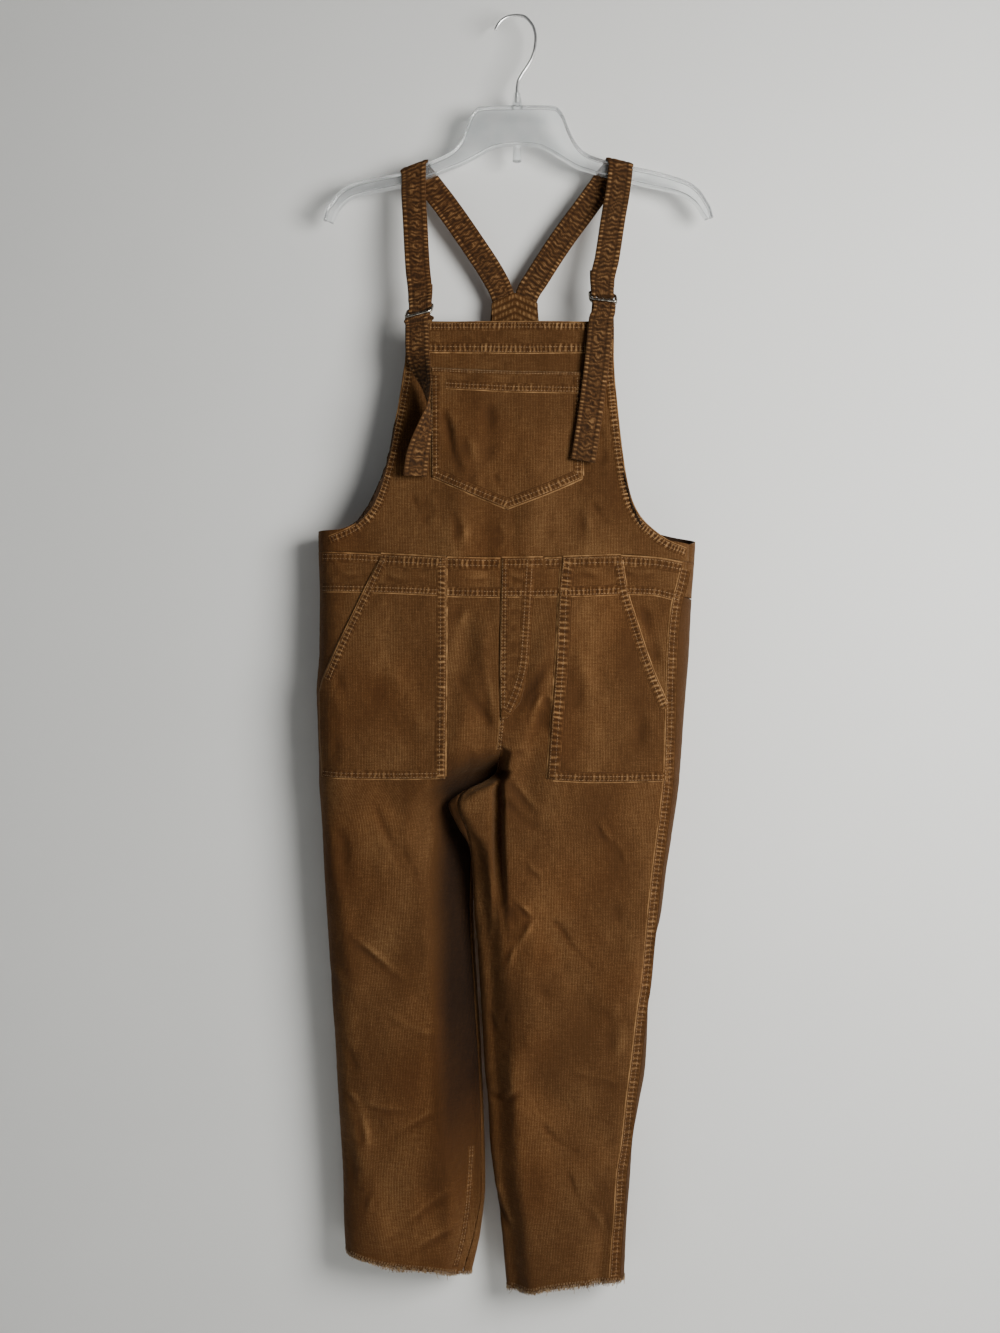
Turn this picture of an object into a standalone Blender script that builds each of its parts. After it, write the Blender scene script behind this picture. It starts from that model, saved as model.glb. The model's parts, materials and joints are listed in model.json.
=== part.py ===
"""Bib overalls hanging on a clear clothes hanger.

Every size below is in millimetres of the real garment and is turned into metres by `MM`
when a mesh is made. X is to the viewer's right, +Z is up and -Y faces the viewer. The
origin is the point where the hanger's hook bears on its peg, and a height is given as a
`drop`, the distance below that point. "r" and "l" are the wearer's right and left, so the
"r" side is at -X.

The garment is cut like the real one: a bib, a back, two waistbands, two front and two back
leg panels, patch pockets, a fly flap and straps. Each panel is a wall drawn through
horizontal rings. A ring is the outline of one leg, or of half the trunk, at one height.
"""

import math
from collections import namedtuple

import bmesh
import bpy
import numpy as np
from mathutils import Vector

MM = 0.001

# ---------------------------------------------------------------- driving dimensions
CLOTH = 1.6              # wall of a garment panel
POCKET_CLOTH = 1.3       # wall of what is sewn onto a panel
STRAP_CLOTH = 2.6        # a strap is folded cloth, two layers
STRAP_WIDTH = 27.0
STRAP_WIDTH_IN_RING = 21.8
SEAM_HALF_GAP = 0.15     # each side of a seam stands back by this, 0.3 mm in all
INNER_HALF_GAP = 0.3     # the same for the inseam, which bends sharply
LAID_GAP = 0.6           # under what lies on a panel
HIP_POCKET_GAP = 1.3     # under the hip pockets, which bridge the creases of the leg
BIB_POCKET_GAP = 1.4     # under the bib's pocket, which has its own folds
FRAY_GAP = 0.9           # between the cut edge and the strip that holds its fray
RING_WIRE = 1.1          # radius of the buckle wire
RING_HALF_WIDTH = 14.3
RING_HEIGHT = 10.8
HOOK_WIRE = 1.8          # radius of the hanger's hook
ARM_THICKNESS = 8.0      # hanger, front to back across its rims
WEB_THICKNESS = 3.0      # hanger, between its rims
RIM = 3.2                # height of a hanger rim
SIDE_EDGE = 26.0         # how far in from the side fold a panel starts to turn
CROTCH = 832.0           # drop at which the trunk divides into two legs

# A row for each level of a leg and the half trunk above it.
#   out, inn      x of the outer fold and of the inner edge
#   front, back   y of the flat of the front and of the back
#   in_front, in_back   y of the front and back cloth at the inner edge
#   turn_front, turn_back   width over which each turns from its flat to the inner edge
#   seam          how far the side seam lies in from the outer fold, + on the front
#   inseam        how far the inseam lies in from the inner fold, + on the front
Level = namedtuple(
    "Level", "drop out inn front back in_front in_back turn_front turn_back seam inseam"
)

LEVELS_R = [
    Level(300, -219, -17, -14, 12, -14, 12, 20, 20, -12, 0),
    Level(430, -219, -17, -21, 13, -21, 13, 20, 20, -12, 0),
    Level(560, -219, -17, -30, 17, -30, 17, 20, 20, -12, 0),
    Level(640, -217, -18, -36, 21, -36, 21, 20, 20, -12, 0),
    Level(700, -217, -20, -40, 24, -40, 24, 20, 20, -12, 0),
    Level(747, -220, -19, -42, 25, -42, 25, 20, 20, -12, 0),
    Level(785, -219, -18, -43, 26, -43, 26, 22, 20, -12, 0),
    Level(804, -218, -18, -43, 26, -39, 23, 30, 22, -12, 0),
    Level(820, -217, -20, -43, 26, -21, 12, 46, 34, -12, 0),
    Level(832, -217, -22, -43, 26, -3, 4, 60, 40, -12, 0),
    Level(844, -217, -26, -43, 26, 3, 11, 70, 36, -12, 0),
    Level(866, -216, -38, -42, 26, 4, 14, 80, 30, -12, 3),
    Level(915, -213, -48, -41, 25, 2, 14, 66, 26, -12, 6),
    Level(988, -209, -48, -39, 24, 0, 14, 50, 24, -12, 8),
    Level(1084, -203, -43, -36, 23, -2, 13, 44, 24, -12, 8),
    Level(1197, -196, -37, -33, 22, -4, 12, 40, 24, -12, 8),
    Level(1293, -191, -35, -31, 21, -6, 10, 34, 24, -12, 9),
    Level(1340, -190, -40, -30, 20, -8, 9, 30, 24, -12, 12),
    Level(1385, -187, -50, -29, 20, -9, 8, 26, 24, -12, 15),
    Level(1415, -186, -56, -28, 20, -9, 8, 24, 24, -12, 16),
]
LEVELS_L = [
    Level(300, 197, -17, -14, 12, -14, 12, 20, 20, 8, 0),
    Level(430, 197, -17, -21, 13, -21, 13, 20, 20, 8, 0),
    Level(560, 197, -17, -30, 17, -30, 17, 20, 20, 8, 0),
    Level(640, 192, -18, -36, 21, -36, 21, 20, 20, 14, 0),
    Level(700, 189, -20, -40, 24, -40, 24, 20, 20, 20, 0),
    Level(747, 185, -19, -42, 25, -42, 25, 20, 20, 20, 0),
    Level(785, 182, -18, -43, 26, -43, 26, 18, 20, 18, 0),
    Level(804, 181, -18, -43, 26, -39, 23, 15, 30, 17, 0),
    Level(820, 180, -20, -43, 26, -21, 11, 13, 44, 16, 0),
    Level(832, 179, -22, -43, 26, -8, 0.5, 12, 56, 15, 0),
    Level(838, 178.5, -27, -43, 26, -14, -4.5, 11, 60, 15, 0),
    Level(844, 178, -38, -43, 26, -22, -11.5, 10, 64, 14, 0),
    Level(852, 177, -57, -43, 26, -30, -18, 10, 70, 14, 2),
    Level(866, 175, -75, -43, 26, -34, -21, 10, 72, 14, 15),
    Level(893, 171, -64, -42, 26, -34, -22, 12, 66, 13, 12),
    Level(915, 168, -52, -41, 25, -30, -16, 14, 56, 13, 3),
    Level(940, 164, -49.5, -40, 25, -24, -8, 16, 44, 12, -4),
    Level(988, 158, -47, -39, 24, -20, -2, 20, 34, 10, -8),
    Level(1028, 149, -43.5, -38, 23, -18, 2, 22, 30, 6, -8),
    Level(1084, 144.5, -40, -36, 23, -16, 4, 24, 28, 6, -8),
    Level(1157, 141, -36, -34, 22, -15, 4, 24, 26, 11, -8),
    Level(1197, 134, -32, -33, 22, -14, 4, 24, 24, 10, -8),
    Level(1240, 127, -30, -32, 21, -13, 4, 24, 24, 7, -8),
    Level(1287, 124, -24, -31, 21, -12, 4, 22, 24, 11, -8),
    Level(1340, 120, -17, -30, 20, -11, 4, 22, 24, 9, -8),
    Level(1385, 118, -13, -29, 20, -10, 4, 22, 24, 10, -8),
    Level(1415, 116, -10, -28, 20, -10, 4, 22, 24, 10, -8),
]
LEVELS = {"r": LEVELS_R, "l": LEVELS_L}
OUTWARD = {"r": -1, "l": 1}

# The long upright fold beside the crotch, in the front of the wearer's left leg.
Groove = namedtuple("Groove", "drop x half_width depth")
GROOVE = [
    Groove(590, -6, 5, 0),
    Groove(780, -7, 5, 0),
    Groove(812, -9, 4, 0),
    Groove(824, -11, 3.6, 0),
    Groove(832, -13, 3.4, 4),
    Groove(838, -17, 3.7, 10),
    Groove(845, -20, 4.2, 15),
    Groove(853, -21, 4.5, 17),
    Groove(895, -21, 5, 18),
    Groove(940, -20, 6, 13),
    Groove(1000, -19, 8, 5),
    Groove(1060, -18, 12, 1.5),
    Groove(1110, -15, 13, 0),
    Groove(1420, 20, 16, 0),
]

# The largest soft folds. Each runs from one point to another and is a ridge where height
# is positive, and a trough where it is negative.
Fold = namedtuple("Fold", "x0 drop0 x1 drop1 half_width height")
FRONT_FOLDS = [
    Fold(-60, 470, -66, 590, 15, 3.0),
    Fold(-18, 545, -22, 640, 16, -2.5),
    Fold(20, 480, 12, 600, 17, 2.5),
    Fold(60, 560, 72, 470, 16, -2.0),
    Fold(-28, 690, -62, 800, 16, 4.0),
    Fold(-60, 660, -40, 770, 15, -3.5),
    Fold(12, 790, 30, 700, 12, 4.0),
    Fold(8, 860, 22, 770, 14, -4.0),
    Fold(-135, 860, -100, 960, 18, -2.5),
    Fold(-205, 860, -190, 940, 12, -3.5),
    Fold(-200, 960, -176, 1060, 13, 3.0),
    Fold(-196, 1160, -160, 1215, 14, -4.0),
    Fold(-176, 1215, -150, 1330, 15, 3.5),
    Fold(-90, 1180, -165, 1270, 16, -2.5),
    Fold(40, 1020, 78, 1090, 16, -3.5),
    Fold(-4, 1010, -12, 1120, 14, -4.0),
    Fold(20, 1110, -8, 1160, 14, 3.0),
    Fold(30, 1180, 96, 1230, 17, -2.5),
    Fold(96, 1330, 88, 1400, 10, -5.0),
    Fold(-78, 1350, -95, 1290, 14, -3.0),
]
BACK_FOLDS = [
    Fold(-120, 640, -40, 700, 18, -3.0),
    Fold(90, 640, 20, 705, 18, -3.0),
    Fold(-20, 720, -70, 830, 16, -3.0),
    Fold(0, 730, 50, 840, 16, -3.0),
    Fold(-150, 860, -90, 900, 17, -4.0),
    Fold(120, 860, 50, 900, 17, -4.0),
    Fold(-170, 1000, -90, 1050, 18, -4.0),
    Fold(110, 1010, 20, 1060, 18, -4.0),
    Fold(-90, 1100, -150, 1180, 16, 3.0),
    Fold(20, 1110, 80, 1200, 16, 3.0),
    Fold(-160, 1230, -80, 1290, 18, -3.0),
    Fold(90, 1240, 10, 1290, 18, -3.0),
]

# Lines across the front, given as (x, drop).
WAIST_TOP = [(-222, 592), (-150, 594.5), (-78, 599), (28, 599), (113, 596), (165, 601), (200, 606)]
WAIST_BOTTOM = [(-222, 633), (-166, 634), (-90, 638.5), (44, 640.5), (109, 637), (136, 635), (200, 646)]
HEM = {
    "r": [(-190, 1358), (-168, 1363), (-134, 1371), (-86, 1376), (-64, 1384), (-40, 1386)],
    "l": [(-20, 1401), (8, 1400), (32, 1395), (67, 1390.5), (100, 1388), (120, 1389)],
}
SIDE_TOP = {"r": 570.0, "l": 585.0}   # drop of the low point of each armhole

# The free edge of the bib and of the back, from the side seam up to the top corner, as
# (distance around the cloth from the centre line, drop).
ARMHOLE_FRONT = {
    "r": [(180, 569.2), (162, 563.5), (151, 556), (141, 545), (134.5, 532), (128.5, 514),
          (121.5, 486), (115.5, 450), (110.5, 417), (105.8, 386), (103.6, 362), (102, 340)],
    "l": [(177, 579.5), (158, 569.5), (149, 559), (142, 545), (137.5, 528), (133, 508),
          (128.5, 480), (125, 455), (122.5, 425), (121, 395), (120.4, 365), (120, 340)],
}
ARMHOLE_BACK = {
    "r": [(150, 552), (118, 528), (92, 496), (68, 450), (50, 405), (36, 368), (27.5, 340), (25, 316)],
    "l": [(150, 562), (118, 534), (92, 498), (68, 450), (50, 405), (36, 368), (27.5, 340), (25, 316)],
}
BACK_CENTRE = -2.5        # x of the middle of the back, where the straps meet
BACK_PEAK = 303.0         # drop of the point of the back's top edge
BIB_TOP = 340.0

# Rows of the leg panels below the waistband, and where the columns stand across a panel.
TRUNK_ROWS = [664, 692, 720, 746, 768, 786, 801, 813, 824, 832]
LEG_ROWS = {
    "r": TRUNK_ROWS + [840, 850, 863, 880, 905, 940, 985, 1040, 1100, 1155, 1205, 1255],
    "l": TRUNK_ROWS + [837, 842, 847, 853, 860, 868, 880, 896, 915, 940, 972, 1010, 1055, 1105,
                       1155, 1205, 1255],
}
HEM_ROWS = (0.36, 0.7, 1.0)
FRONT_STEPS = {
    "r": (0.4, 0.5, 0.8, 1.2, 1.5, 1.6, 1.6, 1.6, 1.5, 1.3, 0.9, 0.7, 0.6),
    "l": (0.5, 0.5, 0.3, 0.3, 0.3, 0.3, 1.2, 1.7, 1.7, 1.7, 1.6, 1.3, 0.9, 0.7, 0.6),
}
BACK_STEPS = (0.5, 0.5, 0.7, 1.3, 2.0, 2.2, 2.1, 1.8, 1.2, 0.8, 0.5, 0.4, 0.35)
# Columns of the left front that follow the upright fold, and where they stand in its width.
GROOVE_COLUMNS = {2: -1.5, 3: -0.85, 4: 0.0, 5: 0.85, 6: 1.5}


# ---------------------------------------------------------------- small helpers
def smooth_through(xs, ys, x):
    """A smooth curve through the points (xs, ys), with no overshoot, read at x."""
    xs, ys = np.asarray(xs, float), np.asarray(ys, float)
    step = np.diff(xs)
    slope = np.diff(ys) / step
    tangent = np.zeros(len(xs))
    same_way = slope[:-1] * slope[1:] > 0
    both = np.where(same_way, slope[:-1] + slope[1:], 1.0)
    tangent[1:-1] = np.where(same_way, 2 * slope[:-1] * slope[1:] / both, 0.0)
    tangent[0], tangent[-1] = slope[0], slope[-1]
    x = np.clip(x, xs[0], xs[-1])
    i = np.clip(np.searchsorted(xs, x) - 1, 0, len(xs) - 2)
    t = (x - xs[i]) / step[i]
    return (
        (2 * t**3 - 3 * t**2 + 1) * ys[i]
        + (t**3 - 2 * t**2 + t) * step[i] * tangent[i]
        + (3 * t**2 - 2 * t**3) * ys[i + 1]
        + (t**3 - t**2) * step[i] * tangent[i + 1]
    )


def table_at(rows, drop):
    """Every column of a table read at one drop, as a row of the same kind."""
    drops = [row.drop for row in rows]
    kind = type(rows[0])
    return kind(drop, *(
        float(smooth_through(drops, [row[k] for row in rows], drop))
        for k in range(1, len(kind._fields))
    ))


def line_at(points, x):
    """A line across the garment, given as (x, drop) points, read at x."""
    return smooth_through([p[0] for p in points], [p[1] for p in points], x)


def smoothstep(t):
    t = np.clip(t, 0.0, 1.0)
    return t * t * (3 - 2 * t)


def along(points):
    """The distance along a polyline at each of its points."""
    steps = np.linalg.norm(np.diff(points, axis=0), axis=1)
    return np.concatenate([[0.0], np.cumsum(steps)])


def unit(vectors):
    return vectors / np.maximum(np.linalg.norm(vectors, axis=-1, keepdims=True), 1e-9)


def fold_height(folds, x, drop):
    """The height that the soft folds add at a point of the cloth."""
    total = np.zeros_like(np.asarray(x, float))
    for f in folds:
        run = np.array([f.x1 - f.x0, f.drop1 - f.drop0], float)
        length = np.linalg.norm(run)
        run /= length
        t = (x - f.x0) * run[0] + (drop - f.drop0) * run[1]
        off = (x - f.x0) * run[1] - (drop - f.drop0) * run[0]
        past = np.maximum(0, np.maximum(-t, t - length))
        total += f.height * np.exp(-(off / f.half_width) ** 2 - (past / (1.6 * f.half_width)) ** 2)
    return total


# ---------------------------------------------------------------- the rings
class Ring:
    """The outline of one leg, or of half the trunk, at one drop.

    It runs from the inner edge along the front to the outer fold and back along the back.
    A distance s along it says where a seam or a column lies. Below the crotch the ring is
    closed and s wraps round.
    """

    FRONT_POINTS, EDGE_POINTS, CAP_POINTS = 60, 14, 7

    def __init__(self, side, drop):
        self.side, self.drop = side, drop
        self.way = OUTWARD[side]
        self.level = lv = table_at(LEVELS[side], drop)
        self.closed = drop >= CROTCH
        self.inner_gap = INNER_HALF_GAP if self.closed else SEAM_HALF_GAP
        q_out, q_in = lv.out * self.way, lv.inn * self.way
        lip = (lv.in_back - lv.in_front) / 2 if self.closed else 0.0
        q_flat = np.linspace(q_in + lip, q_out - SIDE_EDGE, self.FRONT_POINTS)
        turn = np.linspace(0, math.pi / 2, self.EDGE_POINTS)[1:]
        q = np.concatenate([q_flat, q_out - SIDE_EDGE + SIDE_EDGE * np.sin(turn)])
        front = self.face(q, q_in + lip, q_out, lv.front, lv.in_front, lv.turn_front, FRONT_FOLDS, -1)
        back = self.face(q, q_in + lip, q_out, lv.back, lv.in_back, lv.turn_back, BACK_FOLDS, 1)
        if side == "l":
            g = table_at(GROOVE, drop)
            front = front + g.depth * np.exp(-((q - g.x) / g.half_width) ** 4)
        parts = [np.stack([q, front], 1), np.stack([q, back], 1)[-2::-1]]
        if self.closed:
            angle = np.linspace(0, math.pi / 2, self.CAP_POINTS)[:-1]
            middle = (lv.in_front + lv.in_back) / 2
            cap = np.stack([q_in + lip - lip * np.cos(angle), middle - lip * np.sin(angle)], 1)
            parts = [cap] + parts + [(cap * (1, -1) + (0, 2 * middle))[::-1]]
            self.front_start = self.CAP_POINTS - 1
        else:
            self.front_start = 0
        self.points = np.concatenate(parts)
        self.front_end = self.front_start + len(q)
        self.s = along(self.points)
        self.length = self.s[-1]

    def face(self, q, q_in, q_out, flat, inner, width, folds, outward):
        """y of the front or the back at each q."""
        y = inner + (flat - inner) * smoothstep((q - q_in) / width)
        weight = smoothstep((q_out - 8 - q) / 20) * smoothstep((q - q_in - 5) / 14)
        y = y + outward * fold_height(folds, q * self.way, self.drop) * weight
        middle = (self.level.front + self.level.back) / 2
        t = np.clip((q - (q_out - SIDE_EDGE)) / SIDE_EDGE, 0, 1)
        return middle + (y - middle) * np.sqrt(1 - t * t)

    def front_s(self, x):
        """The distance along the ring at which its front passes x."""
        part = slice(self.front_start, self.front_end)
        return float(np.interp(x * self.way, self.points[part, 0], self.s[part]))

    def seam_s(self):
        """Where the side seam lies."""
        inset = self.level.seam
        q = self.level.out * self.way - abs(inset)
        if inset > 0:
            return self.front_s(q * self.way)
        part = slice(self.front_end - 1, self.front_end + self.FRONT_POINTS)
        return float(np.interp(-q, -self.points[part, 0], self.s[part]))

    def inseam_s(self):
        return self.level.inseam if self.closed else 0.0

    def at(self, s):
        """The points (x, y) of the ring at the distances s."""
        s = np.mod(s, self.length) if self.closed else np.clip(s, 0, self.length)
        return np.stack([
            np.interp(s, self.s, self.points[:, 0]) * self.way,
            np.interp(s, self.s, self.points[:, 1]),
        ], -1)

    def direction(self, s):
        """The way the ring runs at the distances s."""
        return self.at(np.asarray(s) + 0.8) - self.at(np.asarray(s) - 0.8)


def column_shares(steps):
    return np.concatenate([[0], np.cumsum(steps)]) / sum(steps)


def front_columns(ring):
    """Distances of the front panel's columns, from the inner edge to the side seam."""
    start, end = ring.inseam_s() + ring.inner_gap, ring.seam_s() - SEAM_HALF_GAP
    shares = column_shares(FRONT_STEPS[ring.side])
    if ring.side == "r":
        return start + (end - start) * shares
    g = table_at(GROOVE, ring.drop)
    held = [ring.front_s(g.x + k * g.half_width) for k in GROOVE_COLUMNS.values()]
    marks = [0, *GROOVE_COLUMNS, len(shares) - 1]
    return np.interp(shares, shares[marks], [start, *held, end])


def back_columns(ring):
    """Distances of the back panel's columns, from the side seam round to the inner edge."""
    start = ring.seam_s() + SEAM_HALF_GAP
    end = ring.length + ring.inseam_s() - ring.inner_gap
    return start + (end - start) * column_shares(BACK_STEPS)


# ---------------------------------------------------------------- sheets of points
def panel_sheet(side, face):
    """Points and normals of a leg panel and the waistband above it, row by row.

    Row 0 is the top of the waistband and row 1 its lower edge. The rows after that follow
    LEG_ROWS, and the last ones slant into the hem.
    """
    columns = front_columns if face == "front" else back_columns

    def row(drop):
        ring = Ring(side, drop)
        s = columns(ring)
        return np.concatenate([ring.at(s), ring.direction(s)], 1)

    hem_x = row(1385)[:, 0]
    hem = line_at(HEM[side], hem_x)
    waist_x = row(600)[:, 0]
    drops = [line_at(WAIST_TOP, waist_x), line_at(WAIST_BOTTOM, waist_x)]
    leg_rows = LEG_ROWS[side]
    drops += [np.full(len(hem), float(d)) for d in leg_rows]
    last = leg_rows[-1]
    drops += [last + (hem - last) * share for share in HEM_ROWS]
    known = [590, 600, 610, 632, 648, *leg_rows, 1290, 1330, 1360, 1385, 1410]
    rings = np.array([row(d) for d in known])
    points, across = [], []
    for level in drops:
        read = np.array([
            [np.interp(level[c], known, rings[:, c, k]) for k in range(4)] for c in range(len(level))
        ])
        points.append(np.column_stack([read[:, :2], -level]))
        across.append(np.column_stack([read[:, 2:], np.zeros(len(level))]))
    points = np.array(points)
    normals = unit(np.cross(np.gradient(points, axis=0), np.array(across)))
    return points, normals * OUTWARD[side]


class Sheet:
    """A grid of points that other pieces are laid on. Rows and columns may be fractions."""

    def __init__(self, points, normals):
        self.points, self.normals = points, normals

    def read(self, grid, row, column):
        r0 = np.clip(np.floor(row).astype(int), 0, grid.shape[0] - 2)
        c0 = np.clip(np.floor(column).astype(int), 0, grid.shape[1] - 2)
        fr, fc = (row - r0)[..., None], (column - c0)[..., None]
        first, last = grid[r0, c0], grid[r0 + 1, c0 + 1]
        # Each cell is two flat triangles, parted from its first corner to its last.
        above, below = grid[r0, c0 + 1], grid[r0 + 1, c0]
        return np.where(
            fc >= fr,
            first + (above - first) * fc + (last - above) * fr,
            first + (below - first) * fr + (last - below) * fc,
        )

    def raised(self, row, column, height):
        """Points at a height above the sheet, and the normals there."""
        normal = unit(self.read(self.normals, row, column))
        return self.read(self.points, row, column) + normal * height, normal

    def column_of_x(self, row, x):
        """The column at which a row passes x, looking from the inner edge outward."""
        xs = self.read(self.points, np.full(self.points.shape[1], float(row)),
                       np.arange(self.points.shape[1], dtype=float))[:, 0]
        way = 1 if xs[len(xs) // 2] > xs[0] else -1
        reach = int(np.argmax(xs * way)) + 1
        return float(np.interp(x * way, xs[:reach] * way, np.arange(reach)))

    def row_of_drop(self, drop, column):
        z = self.read(self.points, np.arange(self.points.shape[0], dtype=float),
                      np.full(self.points.shape[0], float(column)))[:, 2]
        return float(np.interp(drop, -z, np.arange(len(z))))


# ---------------------------------------------------------------- meshes and materials
def material(name, colour, roughness, metallic=0.0):
    made = bpy.data.materials.new(name)
    made.use_nodes = True
    shader = made.node_tree.nodes["Principled BSDF"]
    shader.inputs["Base Color"].default_value = (*colour, 1.0)
    shader.inputs["Roughness"].default_value = roughness
    shader.inputs["Metallic"].default_value = metallic
    return made


def new_object(name, mesh, finish):
    obj = bpy.data.objects.new(name, mesh)
    bpy.context.scene.collection.objects.link(obj)
    mesh.materials.append(finish)
    return obj


def finish_bmesh(bm, name, finish):
    bmesh.ops.recalc_face_normals(bm, faces=bm.faces)
    mesh = bpy.data.meshes.new(name)
    bm.to_mesh(mesh)
    bm.free()
    mesh.shade_smooth()
    mesh.set_sharp_from_angle(angle=math.radians(55))
    return new_object(name, mesh, finish)


def wall(name, points, normals, thickness, finish, weld=False):
    """A closed wall on a grid of points: the grid is its outer face, and its inner face
    lies one thickness inward along the normals."""
    bm = bmesh.new()
    inward = bm.verts.layers.float_vector.new("inward")
    rows, columns = points.shape[:2]
    verts = [[bm.verts.new(Vector(points[r, c]) * MM) for c in range(columns)] for r in range(rows)]
    for r in range(rows):
        for c in range(columns):
            verts[r][c][inward] = Vector(normals[r, c]) * -thickness * MM
    for r in range(rows - 1):
        for c in range(columns - 1):
            a, b, d, e = verts[r][c], verts[r][c + 1], verts[r + 1][c + 1], verts[r + 1][c]
            bm.faces.new((a, b, d))
            bm.faces.new((a, d, e))
    if weld:
        bmesh.ops.remove_doubles(bm, verts=bm.verts, dist=0.00002)
        bmesh.ops.dissolve_degenerate(bm, edges=bm.edges, dist=0.00002)
    outer_faces = list(bm.faces)
    rim = [e.link_loops[0] for e in bm.edges if e.is_boundary]
    rim = [(loop.vert, loop.link_loop_next.vert) for loop in rim]
    inner = {v: bm.verts.new(v.co + v[inward]) for v in list(bm.verts)}
    for face in outer_faces:
        bm.faces.new([inner[v] for v in reversed(face.verts)])
    for a, b in rim:
        bm.faces.new((b, a, inner[a], inner[b]))
    bm.verts.layers.float_vector.remove(inward)
    return finish_bmesh(bm, name, finish)


def laid_piece(name, sheet, rows, spans, thickness, finish, lift=LAID_GAP):
    """A piece sewn flat onto a sheet. Its outline is cut by the first and last column
    given for each row, and its own columns are those of the sheet between them."""
    columns = np.arange(sheet.points.shape[1], dtype=float)
    grid_rows = np.repeat(np.array(rows, float)[:, None], len(columns) + 2, axis=1)
    grid_columns = np.array([
        [low, *np.clip(columns, low, high), high] for low, high in spans
    ])
    points, normals = sheet.raised(grid_rows, grid_columns, lift + thickness)
    return wall(name, points, normals, thickness, finish, weld=True)


# ---------------------------------------------------------------- the garment
def leg_panels(cloth):
    """The two front and two back leg panels, and the sheets that they were cut from."""
    sheets = {}
    for side in ("r", "l"):
        for face in ("front", "back"):
            points, normals = panel_sheet(side, face)
            sheets[side, face] = Sheet(points, normals)
            leg = points[1:].copy()
            leg[0, :, 2] -= SEAM_HALF_GAP
            wall(f"{face}_leg_{side}", leg, normals[1:], CLOTH, cloth)
    return sheets


def both_sides(sheets, face, rows):
    """The rows of the right and left sheets, joined at the centre line."""
    right, left = sheets["r", face], sheets["l", face]
    if face == "front":     # each runs from the centre outward
        points = np.concatenate([right.points[rows][:, :0:-1], left.points[rows][:, 1:]], 1)
        normals = np.concatenate([right.normals[rows][:, :0:-1], left.normals[rows][:, 1:]], 1)
    else:                   # each runs from the side inward
        points = np.concatenate([right.points[rows][:, :-1], left.points[rows][:, -2::-1]], 1)
        normals = np.concatenate([right.normals[rows][:, :-1], left.normals[rows][:, -2::-1]], 1)
    return points, normals


def waistbands(sheets, cloth):
    for face in ("front", "back"):
        points, normals = both_sides(sheets, face, slice(0, 2))
        middle = (points[0] + points[1]) / 2
        band = np.array([points[0], middle, points[1]])
        band[0, :, 2] -= SEAM_HALF_GAP
        band[2, :, 2] += SEAM_HALF_GAP
        wall(f"waistband_{face}", band, np.array([normals[0], normals[0], normals[1]]), CLOTH, cloth)


def trunk_point(face, distance, drop):
    """A point of the trunk's front or back, `distance` round the cloth from the centre
    line: negative to the wearer's right."""
    side = "r" if distance < 0 else "l"
    ring = Ring(side, max(drop, 300.0))
    s = abs(distance) if face == "front" else ring.length - abs(distance)
    return np.array([*ring.at(np.array(s)), -drop])


def trunk_normal(face, distance, drop):
    """The outward direction of the trunk's cloth at the same place."""
    across = trunk_point(face, distance + 1, drop) - trunk_point(face, distance - 1, drop)
    down = trunk_point(face, distance, drop + 3) - trunk_point(face, distance, drop - 3)
    return unit(np.cross(down, across)) * (1 if face == "front" else -1)


def side_distance(face, side, drop):
    """How far round the cloth the side seam lies from the centre line."""
    ring = Ring(side, drop)
    seam = ring.seam_s()
    return (seam if face == "front" else ring.length - seam) - INNER_HALF_GAP


def trunk_sheet(face, top_edge, columns, row_shares):
    """The bib or the back: columns fan from the waist seam up to its free edge.

    top_edge is the free edge as (distance, drop) points from the wearer's right to left.
    """
    sides = {side: side_distance(face, side, SIDE_TOP[side]) for side in ("r", "l")}
    foot = np.interp(columns, [-1, 0, 1], [-sides["r"], 0.0, sides["l"]])
    edge = np.array(top_edge)
    marks = [p[2] for p in edge]
    top = np.stack([np.interp(columns, marks, edge[:, k]) for k in (0, 1)], -1)
    low = [float(line_at(WAIST_TOP, trunk_point(face, f, 600.0)[0])) - SEAM_HALF_GAP for f in foot]
    places = [
        [(f + (t[0] - f) * share, z + (t[1] - z) * share) for f, z, t in zip(foot, low, top)]
        for share in row_shares
    ]
    points = np.array([[trunk_point(face, *place) for place in row] for row in places])
    normals = np.array([[trunk_normal(face, *place) for place in row] for row in places])
    return points, normals


def free_edge(face, corner_share, armholes, top_points):
    """The free edge of the bib or the back as (distance, drop, column mark) points."""
    edge = []
    for side, way in (("r", -1), ("l", 1)):
        start = side_distance(face, side, SIDE_TOP[side])
        hole = [(start, SIDE_TOP[side])] + armholes[side]
        length = along(np.array(hole, float))
        marks = 1 - (1 - corner_share) * length / length[-1]
        line = [(way * p[0], p[1], way * m) for p, m in zip(hole, marks)]
        edge.append(line if side == "r" else line[::-1])
    return edge[0] + top_points + edge[1]


def bib(cloth):
    corner = 0.36
    edge = free_edge("front", corner, ARMHOLE_FRONT, [])
    columns = np.concatenate([
        np.linspace(-1, -corner, 11), np.linspace(-corner, corner, 9)[1:-1], np.linspace(corner, 1, 11),
    ])
    shares = [0, 0.11, 0.22, 0.33, 0.44, 0.55, 0.66, 0.77, 0.89, 1.0]
    points, normals = trunk_sheet("front", edge, columns, shares)
    wall("bib", points, normals, CLOTH, cloth)


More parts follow.
